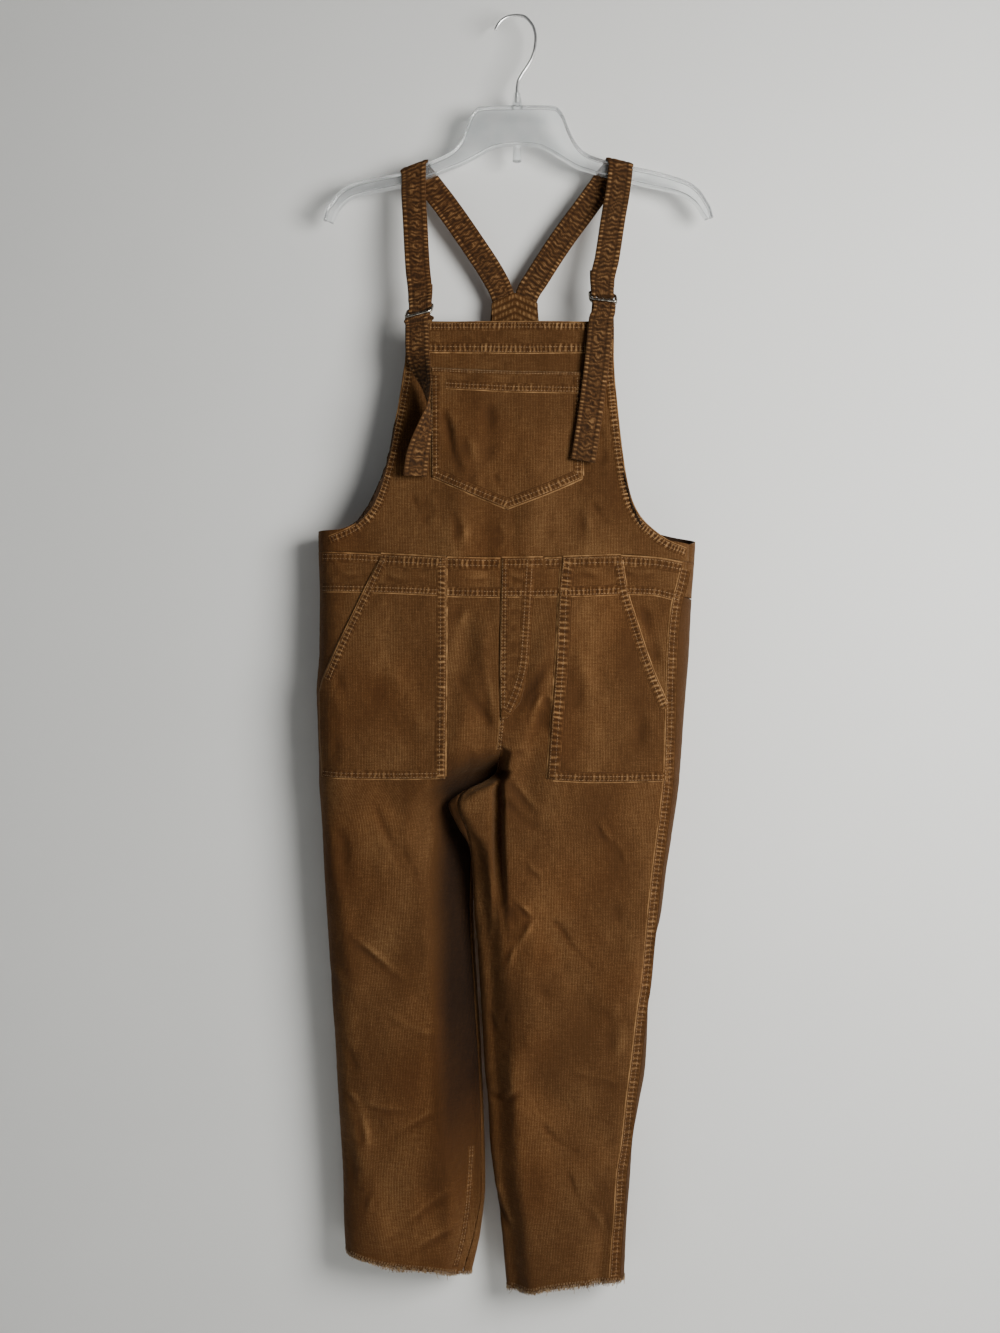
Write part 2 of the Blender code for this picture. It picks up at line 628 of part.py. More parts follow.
def back_panel(cloth):
    corner = 0.2
    shift = BACK_CENTRE - table_at(LEVELS_R, 320).inn
    edge = free_edge("back", corner, ARMHOLE_BACK, [(shift, BACK_PEAK, 0.0)])
    edge = [(d + shift * smoothstep((560 - drop) / 200), drop, m) if m else (d, drop, m)
            for d, drop, m in edge]
    columns = np.concatenate([
        np.linspace(-1, -corner, 10), [-corner / 2, 0, corner / 2], np.linspace(corner, 1, 10),
    ])
    shares = [0, 0.1, 0.2, 0.3, 0.41, 0.52, 0.63, 0.74, 0.85, 0.94, 1.0]
    points, normals = trunk_sheet("back", edge, columns, shares)
    wall("back_panel", points, normals, CLOTH, cloth)


def bib_surface(x, drop):
    """The front face of the bib at x, and its normal, away from the side folds."""
    def depth(px, pd):
        ring = Ring("r" if px < -17 else "l", pd)
        return float(ring.at(np.array(ring.front_s(px)))[1])

    y = depth(x, drop)
    slope_x = (depth(x + 4, drop) - depth(x - 4, drop)) / 8
    slope_z = (depth(x, drop - 4) - depth(x, drop + 4)) / 8
    normal = np.array([slope_x, -1.0, slope_z])
    return np.array([x, y, -drop]), normal / np.linalg.norm(normal)


def bib_pocket(cloth):
    """The patch pocket on the bib, with its pointed lower edge."""
    left, right, point_x = -95.0, 71.5, -11.0
    top = [(left, 391), (-2, 395), (right, 396)]
    bottom = [(left, 512), (point_x, 548), (right, 514)]
    xs = [left, -75, -54, -32, point_x, 10, 31, 52, right]
    grid, normals = [], []
    for share in np.linspace(0, 1, 8):
        row = []
        for x in xs:
            high = np.interp(x, *zip(*top))
            low = np.interp(x, *zip(*bottom))
            row.append(bib_surface(x, high + (low - high) * share))
        grid.append([p + n * (BIB_POCKET_GAP + POCKET_CLOTH) for p, n in row])
        normals.append([n for p, n in row])
    wall("bib_pocket", np.array(grid), np.array(normals), POCKET_CLOTH, cloth)


def hip_pockets(sheets, cloth):
    """The two big patch pockets, which start at the top of the waistband. Each has a
    slanted mouth towards the side seam."""
    Cut = namedtuple("Cut", "drop inner mouth")
    cuts = {
        "r": [Cut(598, -77, -149), Cut(636, -77, -167), Cut(691, -77, -194), Cut(732, -77, -212),
              Cut(748, -77, -219.5), Cut(838, -77, None)],
        "l": [Cut(598, 48.5, 112), Cut(636, 44.5, 119), Cut(691, 41.5, 136), Cut(732, 39, 150),
              Cut(764, 36, 164.5), Cut(838, 31, None)],
    }
    wrap = {"r": 26.0, "l": 0.0}    # how far down the mouth runs on round the side fold
    for side, rows in cuts.items():
        sheet = sheets[side, "front"]
        last = sheet.points.shape[1] - 1.02
        drops = [c.drop for c in rows]
        inner = [c.inner for c in rows]
        mouth = [c for c in rows if c.mouth is not None]
        mouth_foot = mouth[-1].drop + wrap[side]
        grid_rows, spans = [], []
        foot = sheet.row_of_drop(838.5, 6)
        levels = {0.02, 0.98, *range(2, math.ceil(foot)), foot}
        levels |= {sheet.row_of_drop(drop, 10) for drop in np.linspace(mouth[-1].drop, mouth_foot, 6)}
        levels |= set(np.arange(math.ceil(sheet.row_of_drop(808, 6)), foot, 0.5))
        for level in sorted(levels):
            drop = -float(sheet.read(sheet.points, np.array(float(level)), np.array(5.0))[2])
            low = sheet.column_of_x(level, float(np.interp(drop, drops, inner)))
            high = last
            if drop < mouth_foot:
                x = float(np.interp(drop, [c.drop for c in mouth], [c.mouth for c in mouth]))
                high = min(last, sheet.column_of_x(level, x))
                high += (last - high) * max(0, drop - mouth[-1].drop) / max(wrap[side], 1)
            grid_rows.append(level)
            spans.append((low, high))
        laid_piece(f"hip_pocket_{side}", sheet, grid_rows, spans, POCKET_CLOTH, cloth, HIP_POCKET_GAP)


def fly(sheets, cloth):
    """The fly flap: its free edge is the centre line, and its foot is rounded like a J."""
    sheet = sheets["l", "front"]
    outline = [(600, 17.5), (662, 14), (716, 10), (742, 7), (757, 3), (768, -3), (777, -11)]
    grid_rows, spans = [], []
    for drop in (601, 636, 664, 690, 716, 742, 757, 768, 777):
        row = sheet.row_of_drop(drop, 1.0)
        x = float(np.interp(drop, *zip(*outline)))
        grid_rows.append(row)
        spans.append((0.03, sheet.column_of_x(row, x)))
    laid_piece("fly_flap", sheet, grid_rows, spans, POCKET_CLOTH, cloth)


def frayed_hem(side, sheets, thread):
    """The raw hem's fray: a narrow strip just below the cloth, with uneven locks drawn out
    of its lower face."""
    STRIP_HEIGHT, STRIP_WALL, LOCKS = 1.6, 1.3, 54
    front, back = sheets[side, "front"], sheets[side, "back"]
    loop = np.concatenate([front.points[-1], back.points[-1]])
    normals = np.concatenate([front.normals[-1], back.normals[-1]])
    loop, normals = np.vstack([loop, loop[:1]]), np.vstack([normals, normals[:1]])
    s = along(loop)
    at = np.linspace(0, s[-1], LOCKS + 1)[:-1]
    outer = np.stack([np.interp(at, s, loop[:, k]) for k in range(3)], -1)
    normal = np.stack([np.interp(at, s, normals[:, k]) for k in range(3)], -1)
    normal[:, 2] = 0
    normal /= np.linalg.norm(normal, axis=1, keepdims=True)
    outer[:, 2] -= FRAY_GAP
    bm = bmesh.new()
    corners = []
    for lift, inset in ((0, 0), (0, STRIP_WALL), (-STRIP_HEIGHT, STRIP_WALL), (-STRIP_HEIGHT, 0)):
        ring = outer - normal * inset + np.array([0, 0, lift])
        corners.append([bm.verts.new(Vector(p) * MM) for p in ring])
    lower = []
    for i in range(LOCKS):
        j = (i + 1) % LOCKS
        for k in range(4):
            m = (k + 1) % 4
            face = bm.faces.new((corners[k][i], corners[k][j], corners[m][j], corners[m][i]))
            if k == 2:
                lower.append(face)
    for i, face in enumerate(lower):
        length = 2.2 + 2.0 * abs(math.sin(1.7 * i)) + 1.2 * abs(math.sin(0.61 * i + 1))
        lean = 1.1 * math.sin(2.3 * i + 0.5)
        made = bmesh.ops.extrude_discrete_faces(bm, faces=[face])["faces"][0]
        centre = made.calc_center_median()
        side_way = (made.verts[1].co - made.verts[0].co).normalized()
        for v in made.verts:
            v.co = centre + (v.co - centre) * 0.32
            v.co += Vector((0, 0, -length)) * MM + side_way * lean * MM
    finish_bmesh(bm, f"frayed_hem_{side}", thread)


# ---------------------------------------------------------------- straps and buckles
# A row for each station of a strap: its centre, its width, and the line across it on which
# it bends. `lean` drops the right end of that line and `turn` brings it forward, in degrees.
Station = namedtuple("Station", "x drop y width lean turn", defaults=(0.0, 0.0))


def strap(name, stations, thickness, finish):
    """A flat strap drawn through its stations, with more cross-sections where they are far
    apart."""
    knots = along(np.array([[s.x, s.drop, s.y] for s in stations], float))
    s = [knots[0]]
    for low, high in zip(knots, knots[1:]):
        s.extend(np.linspace(low, high, 2 + int((high - low) > 6) + int((high - low) > 20))[1:])
    s = np.array(s)
    read = {k: smooth_through(knots, [getattr(st, k) for st in stations], s) for k in Station._fields}
    centre = np.stack([read["x"], read["y"], -read["drop"]], -1)
    tangent = unit(np.gradient(centre, s, axis=0))
    lean, turn = np.radians(read["lean"]), np.radians(read["turn"])
    across = np.stack([np.cos(lean) * np.cos(turn), -np.cos(lean) * np.sin(turn), -np.sin(lean)], -1)
    through = np.cross(tangent, across)
    reach = (read["width"] / 2 / np.linalg.norm(through, axis=1))[:, None]
    through = unit(through) * thickness / 2
    bm = bmesh.new()
    rings = [
        [bm.verts.new(Vector(c + a * across_sign + t * through_sign) * MM)
         for across_sign, through_sign in ((-1, -1), (1, -1), (1, 1), (-1, 1))]
        for c, a, t in zip(centre, across * reach, through)
    ]
    for one, two in zip(rings, rings[1:]):
        for k in range(4):
            m = (k + 1) % 4
            bm.faces.new((one[k], one[m], two[m], two[k]))
    bm.faces.new(rings[0])
    bm.faces.new(rings[-1][::-1])
    return finish_bmesh(bm, name, finish)


# Where each buckle hangs: its centre, the drop of its upper bars, and its lean in degrees.
Buckle = namedtuple("Buckle", "x drop y lean")
BUCKLES = {"r": Buckle(-106.0, 325.0, -15.2, 15.0), "l": Buckle(93.2, 309.5, -14.4, -7.0)}
BAR_SPREAD = 1.6     # the two upper bars stand this far before and behind the middle


def hanging(b, y, depth, width):
    """A station of a strap in a leaning buckle, `depth` below the buckle's bars."""
    lean = math.radians(b.lean)
    below = max(depth, 0.0)
    x = b.x - below * math.sin(lean)
    return Station(x, b.drop + min(depth, 0.0) + below * math.cos(lean), y, width, -b.lean)


def buckle_rings(side, metal):
    """The two wire rings of a double-ring buckle. The rear one hangs inside the turn of the
    bib strap, and the front one lies across its free end."""
    b = BUCKLES[side]
    for name, bar_y, bow_y in (("front", -BAR_SPREAD, -7.7), ("rear", BAR_SPREAD, -1.0)):
        rise = math.sqrt(RING_HEIGHT**2 - (bow_y - bar_y) ** 2)
        low, w, corner = RING_HEIGHT, RING_HALF_WIDTH, 3.5
        outline = [(-w + 1.5, 0), (w - 1.5, 0), (w, 1.5)]
        outline += [(w - corner + corner * math.cos(a), low - corner + corner * math.sin(a))
                    for a in np.linspace(0, math.pi / 2, 5)]
        outline += [(-x, d) for x, d in outline[:1:-1]]
        curve = bpy.data.curves.new(f"buckle_{name}_ring_{side}", "CURVE")
        curve.dimensions = "3D"
        curve.bevel_depth = RING_WIRE * MM
        curve.bevel_resolution = 1
        spline = curve.splines.new("POLY")
        spline.points.add(len(outline) - 1)
        spline.use_cyclic_u = True
        lean = math.radians(b.lean)
        for point, (x, d) in zip(spline.points, outline):
            share = d / RING_HEIGHT
            px = x * math.cos(lean) - share * rise * math.sin(lean)
            drop = -x * math.sin(lean) + share * rise * math.cos(lean)
            y = bar_y + (bow_y - bar_y) * share
            point.co = ((b.x + px) * MM, (b.y + y) * MM, -(b.drop + drop) * MM, 1)
        new_object(curve.name, curve, metal)


def shoulder_strap(side, cloth):
    """From its stitched end behind the buckle, round the upper bars, over the hanger and
    down the back to where the straps meet."""
    b = BUCKLES[side]
    w = STRAP_WIDTH
    narrow = STRAP_WIDTH_IN_RING
    close = STRAP_CLOTH / 2 + 0.3
    bend = RING_WIRE + 0.9 + STRAP_CLOTH / 2
    half = BAR_SPREAD + bend
    rim = ARM_THICKNESS / 2
    clear = 0.5 + STRAP_CLOTH / 2
    arm = rim + clear
    loop = [
        Station(b.x, b.drop - 26, b.y + close, w),
        Station(b.x, b.drop - 12, b.y + close, w - 1, -b.lean),
        hanging(b, b.y + half, -3.0, narrow),
        hanging(b, b.y + half, 0.0, narrow),
        hanging(b, b.y + BAR_SPREAD + 0.71 * bend, 0.71 * bend, narrow),
        hanging(b, b.y + BAR_SPREAD, bend, narrow),
        hanging(b, b.y - BAR_SPREAD, bend, narrow),
        hanging(b, b.y - BAR_SPREAD - 0.71 * bend, 0.71 * bend, narrow),
        hanging(b, b.y - half, 0.0, narrow),
        hanging(b, b.y - half, -3.0, narrow),
        Station(b.x, b.drop - 12, b.y - close, w - 1, -b.lean),
    ]
    # Over the hanger: the strap turns round the front and then the back corner of the rim.
    x, slope, edge = (-111.5, -21, 166.2) if side == "r" else (111.5, 13, 162.0)
    over = [
        Station(x - step * OUTWARD[side],
                edge - clear * rise - step * OUTWARD[side] * math.tan(math.radians(slope)), y, w, slope)
        for step, rise, y in (
            (-2.4, -2.0, -arm), (-2.0, 0.0, -arm), (-1.5, 0.71, -rim - 0.71 * clear),
            (-1.0, 1.0, -rim), (0.0, 1.0, 0.0), (1.0, 1.0, rim),
            (1.6, 0.71, rim + 0.71 * clear), (2.2, 0.0, arm), (3.4, -2.0, arm),
        )
    ]
    if side == "r":
        front = [
            Station(-109.0, 280, -15.4, w), Station(-112, 228, -11.2, w),
            Station(-114, 190, -arm - 1.0, w, slope / 2),
        ]
        back = [
            Station(-98.5, 181, arm + 0.6, w, -30), Station(-78, 207.5, arm + 1.2, w, -34),
            Station(-50, 247.5, arm + 1.4, w, -34), Station(-27.5, 282, 7.6, w, -30),
            Station(-17, 303, 7.6, 25, -25), Station(-14, 315, 7.6, 22, -20),
            Station(-13, 325, 7.6, 20, -10),
        ]
    else:
        front = [
            Station(98.5, 270, -14.4, w), Station(105.5, 225, -11.0, w),
            Station(111.5, 190, -arm - 1.0, w, slope / 2),
        ]
        back = [
            Station(97.5, 179, arm + 0.6, w, 20), Station(78, 206, arm + 1.2, w, 34),
            Station(50, 244, arm + 1.4, w, 34), Station(22, 287, 7.6, w, 30),
            Station(11.8, 304, 7.6, 25, 25), Station(8.8, 315, 7.6, 22, 20),
            Station(7.8, 325, 7.6, 20, 10),
        ]
    path = front + over + back
    strap(f"shoulder_strap_{side}", loop + path, STRAP_CLOTH, cloth)


def bib_strap(side, cloth):
    """Sewn behind the bib's top corner, up through both rings, over, and down to its free
    end in front of the bib."""
    b = BUCKLES[side]
    w, narrow = STRAP_WIDTH, STRAP_WIDTH_IN_RING
    rear, fore = b.y + 2.4, b.y - 4.4
    behind = bib_surface(b.x, BIB_TOP + 6)[0][1] + CLOTH + 0.45 + STRAP_CLOTH / 2
    middle, half = (rear + fore) / 2, (rear - fore) / 2
    top = RING_WIRE + 0.35 + STRAP_CLOTH + 1.1 + STRAP_CLOTH / 2
    turn = [
        Station(b.x, BIB_TOP + 34, behind + 0.5, w - 2),
        Station(b.x, BIB_TOP + 8, behind, w - 2),
        Station(b.x, BIB_TOP - 2, max(behind - 0.6, rear), w - 2.5),
        hanging(b, rear, top + half, narrow),
        hanging(b, rear - half * 0.3, top + half * 0.3, narrow),
        hanging(b, middle, top, narrow),
        hanging(b, fore + half * 0.3, top + half * 0.3, narrow),
        hanging(b, fore, top + half, narrow),
        hanging(b, fore - 0.2, 16, narrow),
    ]
    if side == "r":
        end = [
            Station(-109, 352, -23, 25), Station(-108.5, 374, -29, 26, 0, 12),
            Station(-104, 396, -36, w, 0, 42), Station(-97.5, 418, -41.5, w, 0, 70),
            Station(-95.5, 436, -43.5, w, 0, 90), Station(-98, 452, -43, w, 0, 112),
            Station(-104, 474, -40, w, 0, 138), Station(-108.5, 494, -37.5, w, 0, 156),
            Station(-110.5, 512, -36, w - 2, 0, 162),
        ]
    else:
        end = [
            Station(91, 340, -21, 25), Station(88.5, 366, -24.5, 26.5, 5),
            Station(84.8, 400, -26.5, w, 8), Station(79, 444, -29, w, 9),
            Station(74.4, 474, -31, w, 9), Station(71, 495, -32.5, w, 9),
        ]
    strap(f"bib_strap_{side}", turn + end, STRAP_CLOTH, cloth)


def back_facing(cloth):
    """The facing that covers the ends of the straps, inside the back: its top edge runs
    down from a point to both sides."""
    y, half, foot = 4.6, 25.6, 350.0
    rows = []
    for share in np.linspace(0, 1, 4):
        row = []
        for x in np.linspace(-half, half, 5):
            top = BACK_PEAK + 0.47 * abs(x)
            row.append((BACK_CENTRE + x, y, -(top + share * (foot - top))))
        rows.append(row)
    points = np.array(rows)
    normals = np.zeros_like(points)
    normals[..., 1] = -1
    wall("back_facing", points, normals, POCKET_CLOTH, cloth)


# ---------------------------------------------------------------- the hanger
# A row for each station of the hanger, from tip to tip: x, and the drops of its upper and
# lower edges. Near a tip the edges are set aside from each other in x as well.
Arm = namedtuple("Arm", "upper_x upper lower_x lower")
HANGER = [
    Arm(-214, 224, -203, 228), Arm(-211, 212, -199, 219), Arm(-206, 206, -194, 211),
    Arm(-198, 195, -187, 204), Arm(-188, 187.5, -180, 200), Arm(-174, 182, -170, 197),
    Arm(-150, 176.5, -148, 192.5), Arm(-128, 172.4, -127, 188), Arm(-113, 166.6, -112, 183),
    Arm(-98, 160.8, -97, 178), Arm(-84, 155, -82, 172), Arm(-72, 148.5, -68, 166.5),
    Arm(-63, 139, -55, 161), Arm(-57, 126, -44, 155), Arm(-50, 108, -33, 149),
    Arm(-42, 100.5, -24, 145), Arm(-26, 99.2, -14, 143), Arm(0, 98.6, 0, 142),
    Arm(26, 98.4, 14, 142.5), Arm(42, 99.4, 24, 144), Arm(50, 107, 33, 148),
    Arm(58, 126, 44, 154), Arm(64, 138, 55, 161), Arm(73, 148.5, 68, 168),
    Arm(84, 154.5, 82, 172.5), Arm(97, 158.6, 96, 176.5), Arm(112, 162.1, 111, 180),
    Arm(128, 165.8, 127, 184), Arm(150, 170.5, 148, 189), Arm(174, 177, 170, 193.5),
    Arm(190, 183, 182, 197.5), Arm(201, 191, 190, 202), Arm(209, 202, 198, 209.5),
    Arm(214, 211, 203, 217.5), Arm(217, 221, 207.5, 224),
]


def hanger(plastic):
    """The hanger's body: a web with a thicker rim along its upper and lower edges, a boss
    for the hook and a peg for loops."""
    bm = bmesh.new()
    thick, thin = ARM_THICKNESS / 2, WEB_THICKNESS / 2
    rings = []
    for a in HANGER:
        upper = Vector((a.upper_x, 0, -a.upper))
        lower = Vector((a.lower_x, 0, -a.lower))
        down = (lower - upper).normalized()
        marks = [(0, -thick), (RIM, -thick), (RIM + 0.8, -thin), (-RIM - 0.8, -thin), (-RIM, -thick)]
        section = []
        for at, y in marks + [(None, -thick)]:
            base = lower if at is None or at < 0 else upper
            section.append(base + down * (at or 0) + Vector((0, y, 0)))
        section += [Vector((p.x, -p.y, p.z)) for p in section[::-1]]
        rings.append([bm.verts.new(p * MM) for p in section])
    for one, two in zip(rings, rings[1:]):
        for k in range(len(one)):
            m = (k + 1) % len(one)
            bm.faces.new((one[k], one[m], two[m], two[k]))
    bm.faces.new(rings[0])
    bm.faces.new(rings[-1][::-1])
    body = finish_bmesh(bm, "hanger", plastic)
    join(body, cone("boss", 0, 84.0, 104.0, 3.6, 7.5), "UNION")
    join(body, cone("socket", 0, 80.0, 98.0, HOOK_WIRE + 0.3, HOOK_WIRE + 0.3), "DIFFERENCE")
    join(body, cone("peg", 0, 138.0, 160.0, 4.2, 5.0), "UNION")


def cone(name, x, top, foot, top_radius, foot_radius):
    """A round tool for the hanger, standing upright."""
    bpy.ops.mesh.primitive_cone_add(
        vertices=14, radius1=foot_radius * MM, radius2=top_radius * MM, depth=(foot - top) * MM,
        location=(x * MM, 0, -(top + foot) / 2 * MM),
    )
    tool = bpy.context.object
    tool.name = name
    tool.hide_render = True
    tool.display_type = "WIRE"
    return tool


def join(body, tool, operation):
    """Applies a Boolean to the body and removes its tool."""
    change = body.modifiers.new(tool.name, "BOOLEAN")
    change.object = tool
    change.operation = operation
    graph = bpy.context.evaluated_depsgraph_get()
    mesh = bpy.data.meshes.new_from_object(body.evaluated_get(graph))
    body.modifiers.clear()
    body.data = mesh
    bpy.data.objects.remove(tool)


def hook(metal):
    """The steel hook: up from the boss, over to the right, round the top and down to its
    tip. The underside of its top is the origin."""
    wire_top = -HOOK_WIRE
    route = [
        (0, 96.5), (0, 88), (0, 80), (1.0, 72), (5, 64), (11, 55), (16.5, 45), (19.6, 34),
        (20.6, 23), (18.5, 12), (13.5, 4.2), (7, wire_top + 0.9), (0, wire_top),
        (-8, wire_top + 0.9), (-15.5, 2.6), (-21, 8.4), (-24, 14.5),
    ]
    s = along(np.array(route, float))
    at = np.linspace(0, s[-1], 34)
    curve = bpy.data.curves.new("hanger_hook", "CURVE")
    curve.dimensions = "3D"
    curve.bevel_depth = HOOK_WIRE * MM
    curve.bevel_resolution = 2
    curve.use_fill_caps = True
    spline = curve.splines.new("POLY")
    spline.points.add(len(at) - 1)
    xs = smooth_through(s, [p[0] for p in route], at)
    drops = smooth_through(s, [p[1] for p in route], at)
    for point, x, drop in zip(spline.points, xs, drops):
        point.co = (x * MM, 0, -drop * MM, 1)
    new_object("hanger_hook", curve, metal)


# ---------------------------------------------------------------- build
def build():
    for obj in list(bpy.data.objects):
        bpy.data.objects.remove(obj)
    cloth = material("corduroy", (0.115, 0.055, 0.021), 0.9)
    thread = material("frayed_cotton", (0.2, 0.12, 0.055), 0.95)
    metal = material("aged_brass", (0.36, 0.33, 0.28), 0.35, 1.0)
    steel = material("hook_steel", (0.6, 0.6, 0.6), 0.2, 1.0)
    plastic = material("clear_plastic", (0.85, 0.87, 0.87), 0.1)

    sheets = leg_panels(cloth)
    waistbands(sheets, cloth)
    bib(cloth)
    back_panel(cloth)
    bib_pocket(cloth)
    hip_pockets(sheets, cloth)
    fly(sheets, cloth)
    back_facing(cloth)
    for side in ("r", "l"):
        frayed_hem(side, sheets, thread)
        shoulder_strap(side, cloth)
        bib_strap(side, cloth)
        buckle_rings(side, metal)
    hanger(plastic)
    hook(steel)


build()
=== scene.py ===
# %% [markdown]
# # Dressing a pair of bib overalls
# The overalls hang from a clear plastic hanger. A plain model of them has already been built,
# piece by piece, at real size, and this lesson gives that model its looks. Every cloth piece is
# made again as a fine, thin shell on the same form, with its creases, seams and threads.
# All sizes below are in millimetres and are turned into metres as a mesh is made. "Drop" is
# the distance down from the rail that the hook hangs on. The wearer's right, marked r, is on
# the viewer's left from the front, and l is the wearer's left.

import json
import math
from collections import namedtuple

import bmesh
import bpy
import numpy as np
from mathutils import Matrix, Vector
from mathutils.bvhtree import BVHTree

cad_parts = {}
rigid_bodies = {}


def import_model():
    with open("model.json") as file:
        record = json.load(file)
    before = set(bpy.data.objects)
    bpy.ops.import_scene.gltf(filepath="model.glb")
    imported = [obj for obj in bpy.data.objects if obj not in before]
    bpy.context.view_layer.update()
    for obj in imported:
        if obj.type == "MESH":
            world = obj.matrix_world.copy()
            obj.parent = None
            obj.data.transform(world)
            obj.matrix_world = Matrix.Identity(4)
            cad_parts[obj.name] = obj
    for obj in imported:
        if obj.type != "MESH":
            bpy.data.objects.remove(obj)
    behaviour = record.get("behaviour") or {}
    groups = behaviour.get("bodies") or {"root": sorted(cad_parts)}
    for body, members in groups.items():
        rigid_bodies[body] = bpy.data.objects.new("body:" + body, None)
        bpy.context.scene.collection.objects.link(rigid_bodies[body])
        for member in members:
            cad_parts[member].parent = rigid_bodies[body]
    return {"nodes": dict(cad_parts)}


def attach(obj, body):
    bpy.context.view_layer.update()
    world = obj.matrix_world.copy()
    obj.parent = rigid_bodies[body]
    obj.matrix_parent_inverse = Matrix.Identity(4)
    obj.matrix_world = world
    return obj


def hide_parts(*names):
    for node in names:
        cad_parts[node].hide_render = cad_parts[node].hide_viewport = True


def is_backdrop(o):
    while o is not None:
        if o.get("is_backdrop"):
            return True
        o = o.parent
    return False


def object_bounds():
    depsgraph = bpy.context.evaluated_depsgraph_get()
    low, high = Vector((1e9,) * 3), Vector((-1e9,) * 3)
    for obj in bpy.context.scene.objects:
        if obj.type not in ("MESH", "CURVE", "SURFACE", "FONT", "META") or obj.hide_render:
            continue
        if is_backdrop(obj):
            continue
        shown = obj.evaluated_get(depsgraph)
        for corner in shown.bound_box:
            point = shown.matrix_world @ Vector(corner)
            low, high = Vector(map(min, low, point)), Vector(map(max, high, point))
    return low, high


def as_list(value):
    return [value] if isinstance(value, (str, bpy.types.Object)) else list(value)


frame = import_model()
plain_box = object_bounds()
MM = 0.001


def in_scene(name, data):
    """A new object in the scene for a mesh, a curve, a camera's data or a lamp's."""
    made = bpy.data.objects.new(name, data)
    bpy.context.scene.collection.objects.link(made)
    return made


def on_body(name, data, finish):
    """A new piece with its material, which rides on the only body."""
    made = in_scene(name, data)
    data.materials.append(finish)
    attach(made, "root")
    return made


def stands_for(piece, plain_name):
    """Lets a piece take the place of a piece of the plain model."""
    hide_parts(plain_name)


print("nodes:", sorted(frame["nodes"]))
print("plain model, m:", [[round(float(v), 3) for v in corner] for corner in plain_box])

# %% [markdown]
# ## The camera
# The camera stands at chest height, square to the garment and 1.6 m in front of it. A lens of
# about 39 mm then takes in the whole length from the hook to the frayed hems.

# %% Camera
CAMERA_X, CAMERA_DISTANCE, CAMERA_DROP = -18.8, 1600, 717.7
camera_data = bpy.data.cameras.new("camera")
camera_data.lens = 39.1
camera_data.sensor_width = 36.0
camera_data.dof.use_dof = False
camera = in_scene("camera", camera_data)
camera.location = (CAMERA_X * MM, -CAMERA_DISTANCE * MM, -CAMERA_DROP * MM)
camera.rotation_euler = (math.radians(90), 0, 0)
bpy.context.scene.camera = camera
print("camera at", tuple(round(v, 3) for v in camera.location))

# %% [markdown]
# ## The corduroy
# Corduroy is woven with raised cords, the wales, that run the length of each piece. These are
# very fine and half worn away, so from a few steps off the cloth looks nearly even, with faint
# lines down it and fainter ones across. The shader draws both from each mesh's own grain map,
# so they follow a strap round a bend. Wear takes the nap off wherever the cloth stands proud:
# along seams and on the crests of creases it turns pale. The hollows, the gaps between puckers,
# the stitched furrows and a few shadowed places are darkened with painted shade. Each mesh
# carries the wear and the painted shade together as one attribute, where 0.5 is plain cloth.

# %% Parts of a material
CORD_HEIGHT, CRUMPLE_HEIGHT = 0.00016, 0.0021    # metres
WARM = (1.16, 1.0, 0.84)                        # tint of the areas where the dye has faded


def link(tree, a, b):
    tree.links.new(a, b)


def node(tree, kind, **values):
    made = tree.nodes.new(kind)
    for key, value in values.items():
        if key in made.inputs:
            made.inputs[key].default_value = value
        else:
            setattr(made, key, value)
    return made


def new_material(name, roughness, metallic=0.0):
    made = bpy.data.materials.new(name)
    made.use_nodes = True
    shader = made.node_tree.nodes["Principled BSDF"]
    shader.inputs["Roughness"].default_value = roughness
    shader.inputs["Metallic"].default_value = metallic
    return made, made.node_tree, shader


def scaled_grain(tree, across, down):
    """The grain map, stretched by a different amount across the wales and along them."""
    grain = node(tree, "ShaderNodeUVMap", uv_map="grain")
    scaled = node(tree, "ShaderNodeVectorMath", operation="MULTIPLY")
    scaled.inputs[1].default_value = (across, down, 1.0)
    link(tree, grain.outputs["UV"], scaled.inputs[0])
    return scaled.outputs[0]


def colour_ramp(tree, factor, stops):
    ramp = node(tree, "ShaderNodeValToRGB")
    elements = ramp.color_ramp.elements
    while len(elements) < len(stops):
        elements.new(0.5)
    for element, (position, colour) in zip(elements, stops):
        element.position = position
        element.color = (*colour, 1.0)
    link(tree, factor, ramp.inputs["Fac"])
    return ramp.outputs["Color"]


def mixed(tree, factor, a, b, blend="MIX"):
    mix = node(tree, "ShaderNodeMix", data_type="RGBA", blend_type=blend)
    for socket, value in ((mix.inputs[0], factor), (mix.inputs[6], a), (mix.inputs[7], b)):
        if isinstance(value, (int, float)):
            socket.default_value = value
        elif isinstance(value, tuple):
            socket.default_value = (*value, 1.0)
        else:
            link(tree, value, socket)
    return mix.outputs[2]


def maths(tree, operation, a, b=0.0, clamp=False):
    made = node(tree, "ShaderNodeMath", operation=operation, use_clamp=clamp)
    for socket, value in zip(made.inputs, (a, b)):
        if isinstance(value, (int, float)):
            socket.default_value = value
        else:
            link(tree, value, socket)
    return made.outputs[0]


def times_plus(tree, value, factor, plus):
    made = maths(tree, "MULTIPLY_ADD", value, factor)
    made.node.inputs[2].default_value = plus
    return made


def object_noise(tree, scale, detail, roughness=0.5):
    """Noise that is fixed to the object itself, and not to its grain."""
    noise = node(tree, "ShaderNodeTexNoise", Scale=scale, Detail=detail, Roughness=roughness)
    link(tree, node(tree, "ShaderNodeTexCoord").outputs["Object"], noise.inputs["Vector"])
    return noise.outputs["Fac"]


def bumped(tree, shader, height, strength, distance):
    bump = node(tree, "ShaderNodeBump", Strength=strength, Distance=distance)
    link(tree, height, bump.inputs["Height"])
    link(tree, bump.outputs["Normal"], shader.inputs["Normal"])


